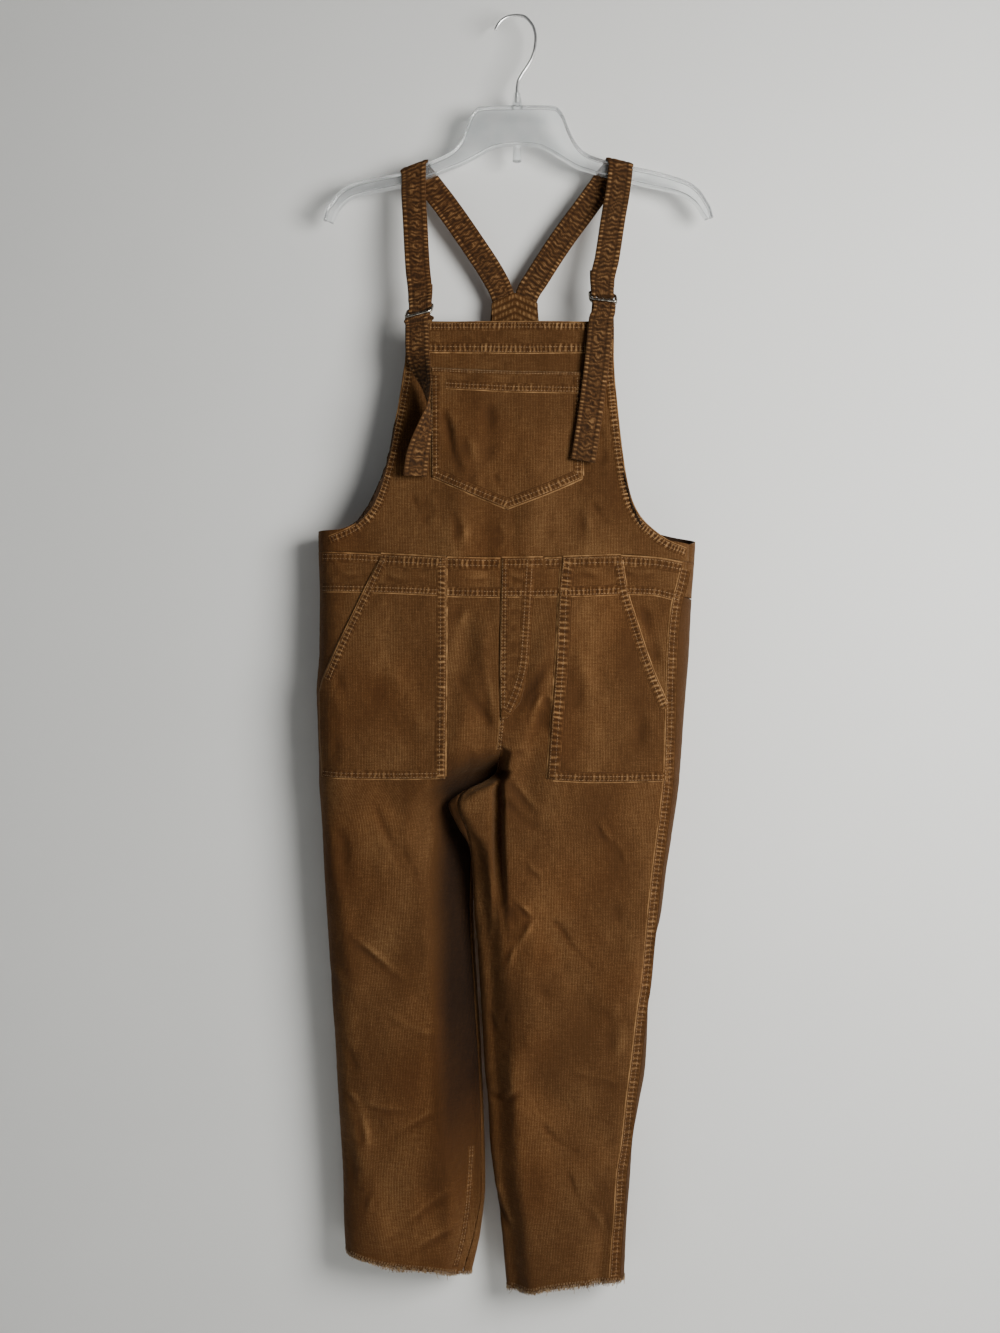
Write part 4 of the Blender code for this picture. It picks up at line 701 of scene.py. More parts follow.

# %% [markdown]
# ## Creases
# Smaller creases lie over the large folds. They run out from where the cloth is held: from the
# crotch, the pockets' corners and the bent knees. A crease in stiff cloth is narrow and uneven,
# with a crest worn bright and a hollow along one side, which is darkened with painted shade, and
# it dies away softly at both ends.
# Here each one is drawn through a few given points, then read as a distance from that line.
# Where the height is negative the line is a furrow. A path is x and drop, in turn.

# %% Creases
Crease = namedtuple("Crease", "path half_width height")
FRONT_CREASES = rows_of(Crease,
    # The right leg's front.
    ((-159, 854, -143, 892, -131, 918, -120, 944), 3.6, -1.7),
    ((-126, 911, -116, 931, -106, 951), 2.8, -1.3),
    ((-191, 992, -172, 1011, -146, 1033, -114, 1063), 3.2, 1.7),
    ((-192, 1116, -181, 1138, -172, 1165), 5, -2),
    ((-187, 1172, -172, 1192, -164, 1219, -161, 1249), 3.2, 2),
    ((-154, 1236, -127, 1219, -94, 1200, -65, 1185), 2.6, 1),
    ((-179, 1184, -143, 1195, -105, 1197), 2.8, 0.9),
    ((-148, 1341, -121, 1318, -89, 1294, -57, 1273), 3.2, 1.1),
    ((-129, 1357, -94, 1337, -59, 1318), 3.2, 1.2),
    ((-148, 1283, -158, 1297, -164, 1314), 2.8, 1.2),
    ((-186, 1229, -179, 1262, -181, 1294), 5, -1.6),
    ((-197, 884, -186, 916, -192, 959), 6, -1.6),
    ((-200, 754, -195, 797, -199, 835), 5, -1.2),
    ((-143, 1089, -105, 1111, -75, 1115), 3.5, 0.7),
    ((-203, 1035, -190, 1062, -192, 1094), 5, 1.4),
    # The left leg's front.
    ((-19, 857, -6, 871, 11, 886, 30, 894), 4.2, -2),
    ((-16, 810, -6, 835, 14, 862, 31, 883), 3.2, 1.5),
    ((-4, 967, 8, 978, 19, 988), 2.6, 2.2),
    ((19, 988, 7, 1011, -5, 1029, -11, 1050), 2.6, 2),
    ((-13, 973, -6, 992, -11, 1022), 7, -2),
    ((30, 986, 46, 1000, 62, 1024, 86, 1044), 3.2, -1.9),
    ((24, 1062, 32, 1076, 33, 1091), 4.5, -1.2),
    ((10, 921, 16, 935, 24, 940, 28, 957), 2.4, 1),
    ((87, 878, 95, 897, 111, 911, 120, 935), 2.8, 1.2),
    ((-27, 1087, -19, 1111, -5, 1128), 2.8, 1.1),
    ((-34, 1181, -22, 1189, -12, 1175), 3.2, -2),
    ((-22, 1199, -13, 1185, 4, 1170), 3, 1.8),
    ((24, 1206, 35, 1224, 53, 1237, 74, 1248), 3, -1.5),
    ((48, 1256, 59, 1278, 68, 1307), 2.8, -1.5),
    ((-24, 1278, -16, 1300, -8, 1321, -2, 1337), 3.2, 2),
    ((-30, 1286, -21, 1307, -12, 1335), 2.8, -2),
    ((57, 1152, 89, 1162, 116, 1168), 2.6, 0.7),
    ((73, 1294, 89, 1316, 100, 1343), 3.2, 0.8),
    ((100, 970, 113, 1002, 111, 1035), 6, -1.2),
    ((102, 1078, 113, 1111, 108, 1148), 6, 1.2),
    # Around the fly and the crotch.
    ((-67, 719, -51, 748, -35, 770, -21, 795), 4.6, -2.4),
    ((-51, 651, -64, 678, -71, 705), 4.6, 1.3),
    ((42, 698, 24, 727, 3, 759, -12, 795), 6, -3),
    ((30, 744, 20, 760, 14, 784), 3, 2.2),
    ((31, 744, 38, 756, 37, 792), 3, 2),
    ((30, 759, 22, 784, 10, 803), 5, -2.4),
    ((-19, 801, -6, 806, 9, 804), 2.8, 1.6),
    ((-36, 705, -30, 738, -24, 773), 3.6, 1),
    ((-60, 792, -49, 819, -60, 838), 4, -1.2),
    # On the hips and the pockets.
    ((132, 646, 145, 689, 152, 724), 6, -2.6),
    ((122, 639, 132, 673, 144, 705), 4, 1.5),
    ((-197, 716, -190, 738, -186, 756), 6, -1.3),
    ((-138, 711, -116, 754, -94, 797), 9, 0.8),
    ((-159, 732, -151, 754, -143, 778), 8, -0.8),
    ((62, 689, 78, 754, 87, 817), 9, 0.8),
    ((122, 745, 132, 784, 124, 821), 7, -1.6),
    ((59, 700, 67, 732, 62, 771), 5, -0.7),
    ((96, 689, 89, 719, 102, 754), 6, -0.7),
    # On the bib.
    ((-32, 425, -30, 462, -33, 500), 6, -1.9),
    ((-51, 462, -45, 500, -40, 529), 5, 1.2),
    ((-84, 428, -77, 451, -71, 484, -60, 516), 3.6, -1.6),
    ((-75, 432, -64, 473, -51, 518), 4, 1),
    ((-26, 505, -19, 522, -10, 532), 3.2, -1.2),
    ((-78, 543, -67, 559, -65, 597), 4.2, -1.9),
    ((-60, 549, -56, 570, -60, 592), 4, 1.3),
    ((-115, 525, -111, 538, -104, 552), 3.2, -1.6),
    ((-94, 529, -88, 549, -94, 570), 4.5, 0.9),
    ((-19, 559, -13, 576, -19, 594), 3.6, 1.1),
    ((73, 541, 78, 570, 76, 592), 4.2, 1.1),
    ((81, 538, 91, 554, 98, 564), 3.6, -1.6),
    ((33, 552, 37, 565, 35, 581), 5, -1.1),
    ((-5, 354, 7, 363, 22, 366), 2, 1.1),
    ((32, 355, 46, 362, 63, 365), 2, 1.1),
    ((-67, 358, -56, 354, -44, 361), 2, 1),
    ((-38, 355, -27, 362, -13, 363), 2, 0.9),
    ((-94, 358, -84, 363, -73, 358), 2.2, 0.9),
    ((89, 451, 94, 484, 89, 505), 4, -1.4),
    # In the waistband.
    ((-145, 614, -127, 621, -94, 620), 2.4, 1),
    ((-131, 609, -111, 614, -92, 613), 2.2, -0.9),
    ((-67, 616, -49, 621, -27, 618), 2.4, 0.9),
    ((-14, 614, 5, 621, 26, 610), 2.4, 1.1),
    ((46, 618, 68, 614, 94, 618), 2.4, 0.9),
    ((113, 609, 132, 617, 149, 613), 2.4, 1),
    ((-197, 611, -181, 617, -161, 613), 2.4, 0.8),
    # Across the fly.
    ((-13, 658, -3, 654, 10, 658), 2.2, 0.9),
    ((-13, 675, -2, 671, 10, 675), 2.2, 0.9),
    ((-13, 692, -4, 689, 9, 693), 2.2, 1),
    ((-14, 710, -4, 705, 8, 711), 2.2, 0.9),
    ((-14, 727, -5, 724, 6, 728), 2.2, 0.9),
    ((-14, 743, -6, 741, 3, 745), 2.2, 0.9),
)
BACK_CREASES = rows_of(Crease,
    # Under the seat.
    ((-30, 815, -60, 850, -100, 872, -150, 885), 4, -2.2),
    ((-35, 800, -75, 835, -130, 850), 3.4, 1.7),
    ((-10, 815, 25, 848, 70, 868, 118, 880), 4, -2.2),
    ((-8, 800, 40, 832, 95, 846), 3.4, 1.7),
    ((-60, 900, -95, 925, -140, 938), 3.4, -1.6),
    ((0, 900, 40, 925, 90, 935), 3.4, -1.5),
    ((-20, 655, -45, 690, -80, 712), 4.5, 1.4),
    ((-12, 660, 20, 692, 60, 712), 4.5, 1.4),
    # Behind the knees.
    ((-190, 1012, -160, 1032, -118, 1050), 3.4, 1.9),
    ((-70, 1018, -100, 1046, -132, 1062), 3.2, 1.7),
    ((-188, 1060, -158, 1070, -120, 1064), 3, -1.7),
    ((-182, 1100, -150, 1124, -110, 1138), 3.2, 1.4),
    ((128, 1012, 98, 1036, 58, 1052), 3.4, 1.9),
    ((-20, 1035, 14, 1062, 56, 1078), 3.2, 1.6),
    ((126, 1070, 92, 1082, 60, 1076), 3, -1.7),
    ((118, 1112, 84, 1130, 40, 1140), 3.2, 1.3),
    ((-60, 1085, -84, 1110, -92, 1140), 3, 1.3),
    # Down the lower legs.
    ((-186, 1200, -160, 1222, -120, 1236), 3.4, 1.4),
    ((-70, 1180, -92, 1222, -98, 1262), 3.6, -1.4),
    ((116, 1205, 84, 1230, 48, 1244), 3.4, 1.4),
    ((4, 1180, 24, 1226, 22, 1270), 3.6, -1.4),
    ((-170, 1290, -140, 1304, -110, 1300), 3.2, 1),
    ((100, 1300, 70, 1318, 40, 1312), 3.2, 1),
    # On the seat and the back.
    ((-160, 662, -150, 700, -158, 745), 5, -1.4),
    ((120, 660, 112, 702, 122, 750), 5, -1.4),
    ((-90, 500, -62, 525, -30, 540), 3.6, 1.3),
    ((80, 502, 52, 528, 22, 542), 3.6, 1.3),
    ((-40, 420, -30, 460, -36, 505), 4, -1.3),
    ((32, 424, 24, 462, 30, 510), 4, 1.2),
    ((-120, 560, -110, 575, -118, 588), 4, -1.2),
    ((96, 556, 88, 572, 96, 590), 4, -1.2),
    ((-12, 345, -6, 372, -14, 400), 3, 1),
)


def off_the_line(path, x, drop):
    """How far along a line, as a share, and how far off to its side each point lies."""
    nearest = np.full(x.shape, np.inf)
    share, off = np.zeros(x.shape), np.zeros(x.shape)
    s = along(path)
    for k, ((x0, d0), (x1, d1)) in enumerate(zip(path[:-1], path[1:])):
        step = s[k + 1] - s[k]
        ux, ud = (x1 - x0) / step, (d1 - d0) / step
        t = np.clip((x - x0) * ux + (drop - d0) * ud, 0, step)
        gap_x, gap_d = x - x0 - t * ux, drop - d0 - t * ud
        gap = np.hypot(gap_x, gap_d)
        closer = gap < nearest
        nearest = np.where(closer, gap, nearest)
        share = np.where(closer, (s[k] + t) / s[-1], share)
        off = np.where(closer, np.where(gap_d * ux - gap_x * ud > 0, gap, -gap), off)
    return share, off


def creased(creases, x, drop):
    """The height of the creases at each point, and the wear and painted shade that they bring."""
    height, wear_and_shade = np.zeros(x.shape), np.zeros(x.shape)
    for c in creases:
        line = np.array(c.path, float).reshape(-1, 2)
        reach = 5 * c.half_width
        near = ((x > line[:, 0].min() - reach) & (x < line[:, 0].max() + reach)
                & (drop > line[:, 1].min() - reach) & (drop < line[:, 1].max() + reach))
        if not near.any():
            continue
        s = along(line)
        path = columns_at(np.linspace(0, s[-1], 16), s, line, smoothly)
        share, off = off_the_line(path, x[near], drop[near])
        uneven = 0.75 + 0.4 * np.sin(share * 9 + line[0, 0])
        fade = smoothstep(share / 0.22) * smoothstep((1 - share) / 0.3) * uneven
        crest = np.exp(-(off / c.half_width) ** 2)
        hollow = np.exp(-((off - 1.9 * c.half_width) / (1.2 * c.half_width)) ** 2)
        if c.height < 0:
            hollow = hollow * 0.0
        height[near] += 0.85 * c.height * fade * (crest - 0.7 * hollow)
        # A crest wears pale; the hollow beside a ridge, and the line of a furrow, get painted shade.
        wear_and_shade[near] += fade * c.height * (0.045 * crest - 0.06 * hollow)
    return height, wear_and_shade


def relief(creases, x, drop, seed):
    """Height of the cloth's creases and its small unevenness, and the wear and painted shade that go with
    it.
    """
    height, wear_and_shade = creased(creases, x, drop)
    height = height + 0.34 * soft_noise(x * 1.3, drop * 0.55, 46, seed)
    height = height + 0.10 * soft_noise(x, drop, 15, seed + 1)
    wear_and_shade = 0.5 + wear_and_shade + 0.045 * soft_noise(x, drop * 0.5, 80, seed + 2)
    return height, wear_and_shade


CREASES = {"front": FRONT_CREASES, "back": BACK_CREASES}
print("creases:", {face: len(creases) for face, creases in CREASES.items()})

# %% [markdown]
# ## Cutting a fine shell
# A shell is a grid of points. Its grain map measures millimetres across and along the cloth, so
# that the wales run true. The thickness is added by a Solidify modifier, inward, like the
# real wall of the cloth.

# %% Shells
class Shell:
    """A grid of points on the cloth's form, with the way out and the distance across."""

    def __init__(self, points, across, creases, seed):
        down = np.gradient(points, axis=0)
        over = np.gradient(points, axis=1)
        normals = unit(np.cross(down, over))
        middle = normals[:, normals.shape[1] // 2, 1].mean()
        facing = -1.0 if creases is FRONT_CREASES else 1.0
        self.flipped = middle * facing <= 0
        self.normals = -normals if self.flipped else normals
        self.grain = np.stack([across, -points[..., 2]], -1)
        height, self.wear_and_shade = relief(creases, points[..., 0], -points[..., 2], seed)
        edge = np.minimum(np.arange(points.shape[1]), np.arange(points.shape[1])[::-1]) / 4.0
        height = height * np.clip(edge, 0, 1)[None, :]
        self.points = points + self.normals * height[..., None]


def grid_faces(rows, columns, closed=False):
    index = np.arange(rows * columns).reshape(rows, columns)
    if closed:
        index = np.concatenate([index, index[:, :1]], 1)
    quads = [index[:-1, :-1], index[1:, :-1], index[1:, 1:], index[:-1, 1:]]
    return np.stack(quads, -1).reshape(-1, 4)


def new_piece(name, points, faces, grain, wear_and_shade, finish, wall=0.0):
    """A mesh piece from arrays, with its grain map and its wear and painted shade, riding on the body."""
    mesh = bpy.data.meshes.new(name)
    mesh.from_pydata((points.reshape(-1, 3) * MM).tolist(), [], [list(face) for face in faces])
    loops = np.empty(len(mesh.loops), dtype=np.int32)
    mesh.loops.foreach_get("vertex_index", loops)
    layer = mesh.uv_layers.new(name="grain")
    layer.data.foreach_set("uv", (grain.reshape(-1, 2)[loops] * MM).astype(np.float32).ravel())
    attribute = mesh.attributes.new("wear_and_shade", "FLOAT", "POINT")
    attribute.data.foreach_set("value", np.clip(wear_and_shade, 0, 1).astype(np.float32).ravel())
    mesh.shade_smooth()
    piece = on_body(name, mesh, finish)
    if wall:
        # The inner side of the wall takes the darker cloth, as painted shade.
        mesh.materials.append(shaded_inner_cloth)
        solid = piece.modifiers.new("wall", "SOLIDIFY")
        solid.thickness = wall * MM
        solid.offset = -1.0
        solid.material_offset = 1
    return piece


def shell_piece(name, shell, finish, wall):
    faces = grid_faces(*shell.points.shape[:2])
    if shell.flipped:
        faces = faces[:, ::-1]
    return new_piece(name, shell.points, faces, shell.grain, shell.wear_and_shade, finish, wall)


skin = {"front": [], "back": []}     # every shell that faces forward, or back
cloth_pieces = {}


def cloth_instead(plain_name, piece, face=None, shell=None):
    """Lets a cloth piece replace its plain one. Its shell is kept if others lie on it."""
    stands_for(piece, plain_name)
    cloth_pieces[plain_name] = piece
    if shell:
        skin[face].append(shell)
    print(plain_name, "has", len(piece.data.vertices), "points")


# %% [markdown]
# ## The four leg panels
# Each leg has a front and a back, seamed at the side and down the inside. The columns of the
# grid run with the grain from waist to hem, and they close up where the cloth turns sharply.

# %% Columns of a leg panel
FINEST_BACK, FINEST_FRONT = 0.21, 0.155     # largest step, in the units of the step lists
PANEL_DROPS = np.concatenate([np.arange(585, 800, 5), np.arange(800, 905, 2.5), np.arange(905, 1421, 5)])


def refined(steps, largest):
    """Splits each step into finer equal ones. Also returns where the old marks went."""
    shares, marks = [0.0], [0]
    for step in steps:
        pieces = max(3, math.ceil(step / largest))
        shares.extend(shares[-1] + step * np.arange(1, pieces + 1) / pieces)
        marks.append(len(shares) - 1)
    return np.array(shares) / shares[-1], marks


def fine_columns(ring, face):
    """Distances round the outline at which the columns of a panel stand."""
    if face == "back":
        start = ring.seam_s() + SEAM_HALF_GAP
        end = ring.length + ring.inseam_s() - ring.inner_gap
        return start + (end - start) * refined(BACK_STEPS, FINEST_BACK)[0]
    start, end = ring.inseam_s() + ring.inner_gap, ring.seam_s() - SEAM_HALF_GAP
    shares, marks = refined(FRONT_STEPS[ring.side], FINEST_FRONT)
    if ring.side == "r":
        return start + (end - start) * shares
    g = table_at(GROOVE, ring.drop)
    held = [ring.front_s(g.x + k * g.half_width) for k in GROOVE_COLUMNS.values()]
    at = [0, *(marks[k] for k in GROOVE_COLUMNS), len(shares) - 1]
    return np.interp(shares, shares[at], [start, *held, end])


def panel_rings(side, face):
    """The panel's columns read at many levels, as an array of level, column and x y s."""
    rows = []
    for drop in PANEL_DROPS:
        ring = Ring(side, float(drop))
        s = fine_columns(ring, face)
        rows.append(np.column_stack([ring.at(s), s - s[len(s) // 2]]))
    return np.array(rows)


def read_rings(rings, drops):
    """Points and grain distances where each column crosses the given drops."""
    columns = np.arange(rings.shape[1])
    low = np.clip(np.searchsorted(PANEL_DROPS, drops) - 1, 0, len(PANEL_DROPS) - 2)
    part = ((drops - PANEL_DROPS[low]) / (PANEL_DROPS[low + 1] - PANEL_DROPS[low]))[..., None]
    read = rings[low, columns] * (1 - part) + rings[low + 1, columns] * part
    return np.concatenate([read[..., :2], -drops[..., None]], -1), read[..., 2]


def drops_between(top, foot, step):
    count = int(np.max(foot - top) / step) + 2
    return top + (foot - top) * np.linspace(0, 1, count)[:, None]


def x_at(rings, drop):
    """x of each column at one of the drops at which the panels are read."""
    return rings[np.searchsorted(PANEL_DROPS, drop), :, 0]


panels = {(side, face): panel_rings(side, face) for side in ("r", "l") for face in CREASES}
print("columns of the panels:", {key: rings.shape[1] for key, rings in panels.items()})

# %% Leg panels
ROW_STEP = {"front": 2.65, "back": 4.2}
leg_shells = {}
for side, seed in (("r", 11), ("l", 23)):
    for face, creases in CREASES.items():
        rings = panels[side, face]
        top = line_at(WAIST_BOTTOM, x_at(rings, 635)) + SEAM_HALF_GAP
        drops = drops_between(top, line_at(HEM[side], x_at(rings, 1385)), ROW_STEP[face])
        points, across = read_rings(rings, drops)
        name = f"{face}_leg_{side}"
        shell = Shell(points, across, creases, seed)
        if name == "front_leg_r":
            # The inner edge lies in the other leg's shadow, which is painted here as darker cloth.
            inner = smoothstep((points[..., 0] + 98) / 28) * smoothstep((drops - 800) / 60)
            shell.wear_and_shade = shell.wear_and_shade - 0.46 * inner * (1 - smoothstep((drops - 1120) / 200))
        elif name == "back_leg_l":
            # The strip of the back that wraps round the side to face forward is made a little darker.
            shell.wear_and_shade = shell.wear_and_shade - 0.13 * smoothstep(-shell.normals[..., 1] / 0.3)
        leg_shells[name] = shell
        cloth_instead(name, shell_piece(f"{name}_cloth", shell, cloth, CLOTH), face, shell)

# %% [markdown]
# The waistband is one straight strip of cloth in front and one behind. Both are seamed to the
# bib or the back above and to the legs below.

# %% Waistbands
BAND_ROW_STEP = 1.7


def joined(parts, face):
    """The wearer's right part and left part of a strip, side by side across the body."""
    right, left = parts
    if face == "front":
        return np.concatenate([right[:, :0:-1], left[:, 1:]], 1)
    return np.concatenate([right[:, :-1], left[:, -2::-1]], 1)


for face, creases in CREASES.items():
    parts = []
    for side in ("r", "l"):
        at_waist = x_at(panels[side, face], 600)
        top = line_at(WAIST_TOP, at_waist) + SEAM_HALF_GAP
        drops = drops_between(top, line_at(WAIST_BOTTOM, at_waist) - SEAM_HALF_GAP, BAND_ROW_STEP)
        parts.append(read_rings(panels[side, face], drops)[0])
    rows = min(len(part) for part in parts)
    points = joined([part[:rows] for part in parts], face)
    shell = Shell(points, points[..., 0], creases, seed=31)
    name = f"waistband_{face}"
    cloth_instead(name, shell_piece(f"{name}_cloth", shell, cloth, CLOTH), face, shell)

# %% [markdown]
# ## The bib and the back
# The bib and the back fan upward from the waistband. Their free edges curve in under the arms
# and were cut on a slant, so the columns of the grid lean in with them.

# %% Bib and back
HIGHEST, LOWEST = 300, 606        # drops between which the trunk's outline is read
trunk_rings = {(side, drop): Ring(side, float(drop)) for side in ("r", "l")
               for drop in range(HIGHEST, LOWEST + 1)}


def round_the_trunk(face, distance, drop):
    """x and y of the trunk's cloth, `distance` round it from the centre line."""
    side = "r" if distance < 0 else "l"
    ring = trunk_rings[side, int(np.clip(round(drop), HIGHEST, LOWEST))]
    s = abs(distance) if face == "front" else ring.length - abs(distance)
    return ring.at(np.array(s))


def side_distance(face, side, drop):
    ring = Ring(side, drop)
    seam = ring.seam_s()
    return (seam if face == "front" else ring.length - seam) - INNER_HALF_GAP


def free_edge(face, corner, armholes, top_points):
    """The free edge as (distance, drop, mark) points. Marks run from -1 to 1 across."""
    edge = []
    for side, way in (("r", -1), ("l", 1)):
        start = side_distance(face, side, SIDE_TOP[side])
        hole = [(start, SIDE_TOP[side])] + armholes[side]
        length = along(np.array(hole, float))
        marks = 1 - (1 - corner) * length / length[-1]
        line = [(way * p[0], p[1], way * m) for p, m in zip(hole, marks)]
        edge.append(line if side == "r" else line[::-1])
    return edge[0] + top_points + edge[1]


def trunk_shell(face, edge, seed, rows, columns):
    marks = np.linspace(-1, 1, columns)
    sides = {side: side_distance(face, side, SIDE_TOP[side]) for side in ("r", "l")}
    foot = np.interp(marks, [-1, 0, 1], [-sides["r"], 0.0, sides["l"]])
    edge = np.array(edge)
    top = columns_at(marks, edge[:, 2], edge[:, :2], smoothly)
    low = np.array([float(line_at(WAIST_TOP, round_the_trunk(face, f, 600)[0])) for f in foot])
    low = low - SEAM_HALF_GAP
    share = np.linspace(0, 1, rows)[::-1, None]
    distance = foot + (top[:, 0] - foot) * share
    drop = low + (top[:, 1] - low) * share
    xy = np.array([[round_the_trunk(face, d, z) for d, z in zip(*row)] for row in zip(distance, drop)])
    points = np.concatenate([xy, -drop[..., None]], -1)
    return Shell(points, distance, CREASES[face], seed)


print("outlines of the trunk:", len(trunk_rings))

# %% [markdown]
# The bib's edge draws in a little over its top hem. The back's edges lean over to where the
# straps meet, which is a few millimetres off the trunk's own centre line.

# %% Cutting the bib and the back
BIB_CORNER, BACK_CORNER = 0.36, 0.2      # share of the width from the centre to a top corner
BIB_DRAWN_IN, BIB_HEM_DROP = 0.04, 376
bib_edge = [(d * (1 - BIB_DRAWN_IN * float(smoothstep((BIB_HEM_DROP - drop) / 20))), drop, m)
            for d, drop, m in free_edge("front", BIB_CORNER, ARMHOLE_FRONT, [])]
shift = BACK_CENTRE - table_at(LEVELS_R, 320).inn
back_edge = free_edge("back", BACK_CORNER, ARMHOLE_BACK, [(shift, BACK_PEAK, 0.0)])
back_edge = [(d + shift * float(smoothstep((560 - drop) / 200)), drop, m) if m else (d, drop, m)
             for d, drop, m in back_edge]
bib_shell = trunk_shell("front", bib_edge, seed=41, rows=104, columns=161)
back_shell = trunk_shell("back", back_edge, seed=43, rows=84, columns=131)
cloth_instead("bib", shell_piece("bib_cloth", bib_shell, cloth, CLOTH), "front", bib_shell)
cloth_instead("back_panel", shell_piece("back_cloth", back_shell, cloth, CLOTH), "back", back_shell)

# %% [markdown]
# ## Laying one piece on another
# Pockets, the fly and every line of sewing lie on the cloth below them. To find where, we look
# straight at the garment, from in front or from behind, and read where the line of sight
# first meets the cloth.

# %% Reading the cloth's surface
class Surface:
    """The visible surface of one side of the garment."""

    EYE = 150         # each line of sight starts this far from the middle
    EDGE_ON = 0.05    # cloth that is seen more edge-on than this doesn't count

    def __init__(self, face):
        self.way = 1.0 if face == "front" else -1.0
        self.points, self.faces, self.count = [], [], 0
        for shell in skin[face]:
            self.add(shell.points)

    def add(self, points):
        self.points.append(points.reshape(-1, 3))
        self.faces.append(grid_faces(*points.shape[:2]) + self.count)
        self.count += points.shape[0] * points.shape[1]
        self.tree = None

    def depth(self, x, drop):
        """y of the surface at each (x, drop). Where a seam's gap lets the sight through,
        the depth of the cloth beside it is taken."""
        if self.tree is None:
            self.tree = BVHTree.FromPolygons(np.concatenate(self.points).tolist(),
                                             np.concatenate(self.faces).tolist())
        flat_x, flat_z = np.ravel(x), -np.ravel(drop)
        y = np.full(len(flat_x), np.nan)
        for i, (px, pz) in enumerate(zip(flat_x, flat_z)):
            start = Vector((px, -self.EYE * self.way, pz))
            place, normal, *_ = self.tree.ray_cast(start, Vector((0, self.way, 0)), 2 * self.EYE)
            if place is not None and abs(normal.y) > self.EDGE_ON:
                y[i] = place.y
        return y.reshape(np.shape(x))


def mended(y):
    """Fills the places where no surface was met from those beside them, then above and below."""
    y = y.copy()
    for lines in (y, y.T):
        for line in lines:
            known = ~np.isnan(line)
            if known.any():
                line[~known] = np.interp(np.flatnonzero(~known), np.flatnonzero(known), line[known])
    return y


def softened(y, times):
    """The surface under a laid piece, which bridges its small creases."""
    for _ in range(times):
        padded = np.pad(y, 1, mode="edge")
        y = (padded[:-2, 1:-1] + padded[2:, 1:-1] + padded[1:-1, :-2] + padded[1:-1, 2:] + 4 * y) / 8
    return y


front = Surface("front")
back = Surface("back")
knee_y = front.depth(np.array([60.0]), np.array([1000.0]))[0]
print("front surface at the left knee, y:", round(float(knee_y), 1))

# %% [markdown]
# ## Pockets and fly
# The patch pockets are single cloth with the edges turned under, so they stand a little proud
# and their rims are rounded. A pocket's outline is given here by its left and right edge at a
# few levels. The mouth of a hip pocket is the slanted edge, which gapes a little.

# %% Patches of cloth
PATCH_WALL = 1.2
RIM_ROUND = 1.6        # width of the rounded rim of a patch


def patch(name, replaces, surface, x, drop, edge, lift, bridging, seed, rim_wear=0.16, gape=0.0):
    """A patch laid on the cloth. edge is how far each point lies in from the patch's rim."""
    y = softened(mended(surface.depth(x, drop)), bridging)
    height, wear_and_shade = relief(FRONT_CREASES, x, drop, seed)
    rise = lift * np.sqrt(np.clip(edge / RIM_ROUND, 0.03, 1)) + height * np.clip(edge / 10, 0, 1) + gape
    points = np.stack([x, y - surface.way * rise, -drop], -1)
    grain = np.stack([x, drop], -1)
    wear_and_shade = wear_and_shade + rim_wear * np.exp(-edge / 1.3)
    piece = new_piece(name, points, grid_faces(*x.shape), grain, wear_and_shade, cloth, PATCH_WALL)
    surface.add(points)
    cloth_instead(replaces, piece)


def four_sided(name, replaces, surface, rows, lift, seed, step=2.1):
    """A patch with rows of (drop at left, drop at right, left x, right x)."""
    rows = np.array(rows, float)
    height = rows[-1, :2].mean() - rows[0, :2].mean()
    share = np.linspace(0, 1, int(height / step) + 2)
    at = (rows[:, :2].mean(1) - rows[0, :2].mean()) / height
    left_drop, right_drop, left_x, right_x = columns_at(share, at, rows).T[..., None]
    width = np.ptp(rows[:, 2:])
    part = np.linspace(0, 1, int(width / step) + 2)
    x = left_x + (right_x - left_x) * part
    drop = left_drop + (right_drop - left_drop) * part
    edge = np.minimum(np.minimum(part, 1 - part)[None, :] * width,
                      np.minimum(share, 1 - share)[:, None] * height)
    patch(name, replaces, surface, x, drop, edge, lift, 14, seed)


# %% [markdown]
# The bib's pocket has five sides, and its foot comes to a point. Its mouth hangs open a little
# where the bib sags, so it stands further off the cloth there.

# %% Pockets
BIB_POCKET_LEFT, BIB_POCKET_WIDTH = -95, 166.5
BIB_POCKET_TOP = [(-95, 391), (-2, 395), (71.5, 396)]
BIB_POCKET_FOOT = [(-95, 512), (-11, 548), (71.5, 514)]
part = np.linspace(0, 1, 83)
share = np.linspace(0, 1, 78)[:, None]
x = BIB_POCKET_LEFT + BIB_POCKET_WIDTH * part
top = np.interp(x, *np.transpose(BIB_POCKET_TOP))
foot = np.interp(x, *np.transpose(BIB_POCKET_FOOT))
drop = top + (foot - top) * share
x = x + 1.5 * share * (1 - part)
edge = np.minimum(np.minimum(part, 1 - part)[None, :] * 166, np.minimum(drop - top, foot - drop))
gape = np.exp(-((x + 35 + (drop - 400) * 0.1) / 16) ** 2) * np.exp(-(drop - top) / 70)
gape = 2.0 * gape * smoothstep((drop - top) / 6)
patch("bib_pocket_cloth", "bib_pocket", front, x, drop, edge, 2.4, 10, 61, rim_wear=0.14, gape=gape)

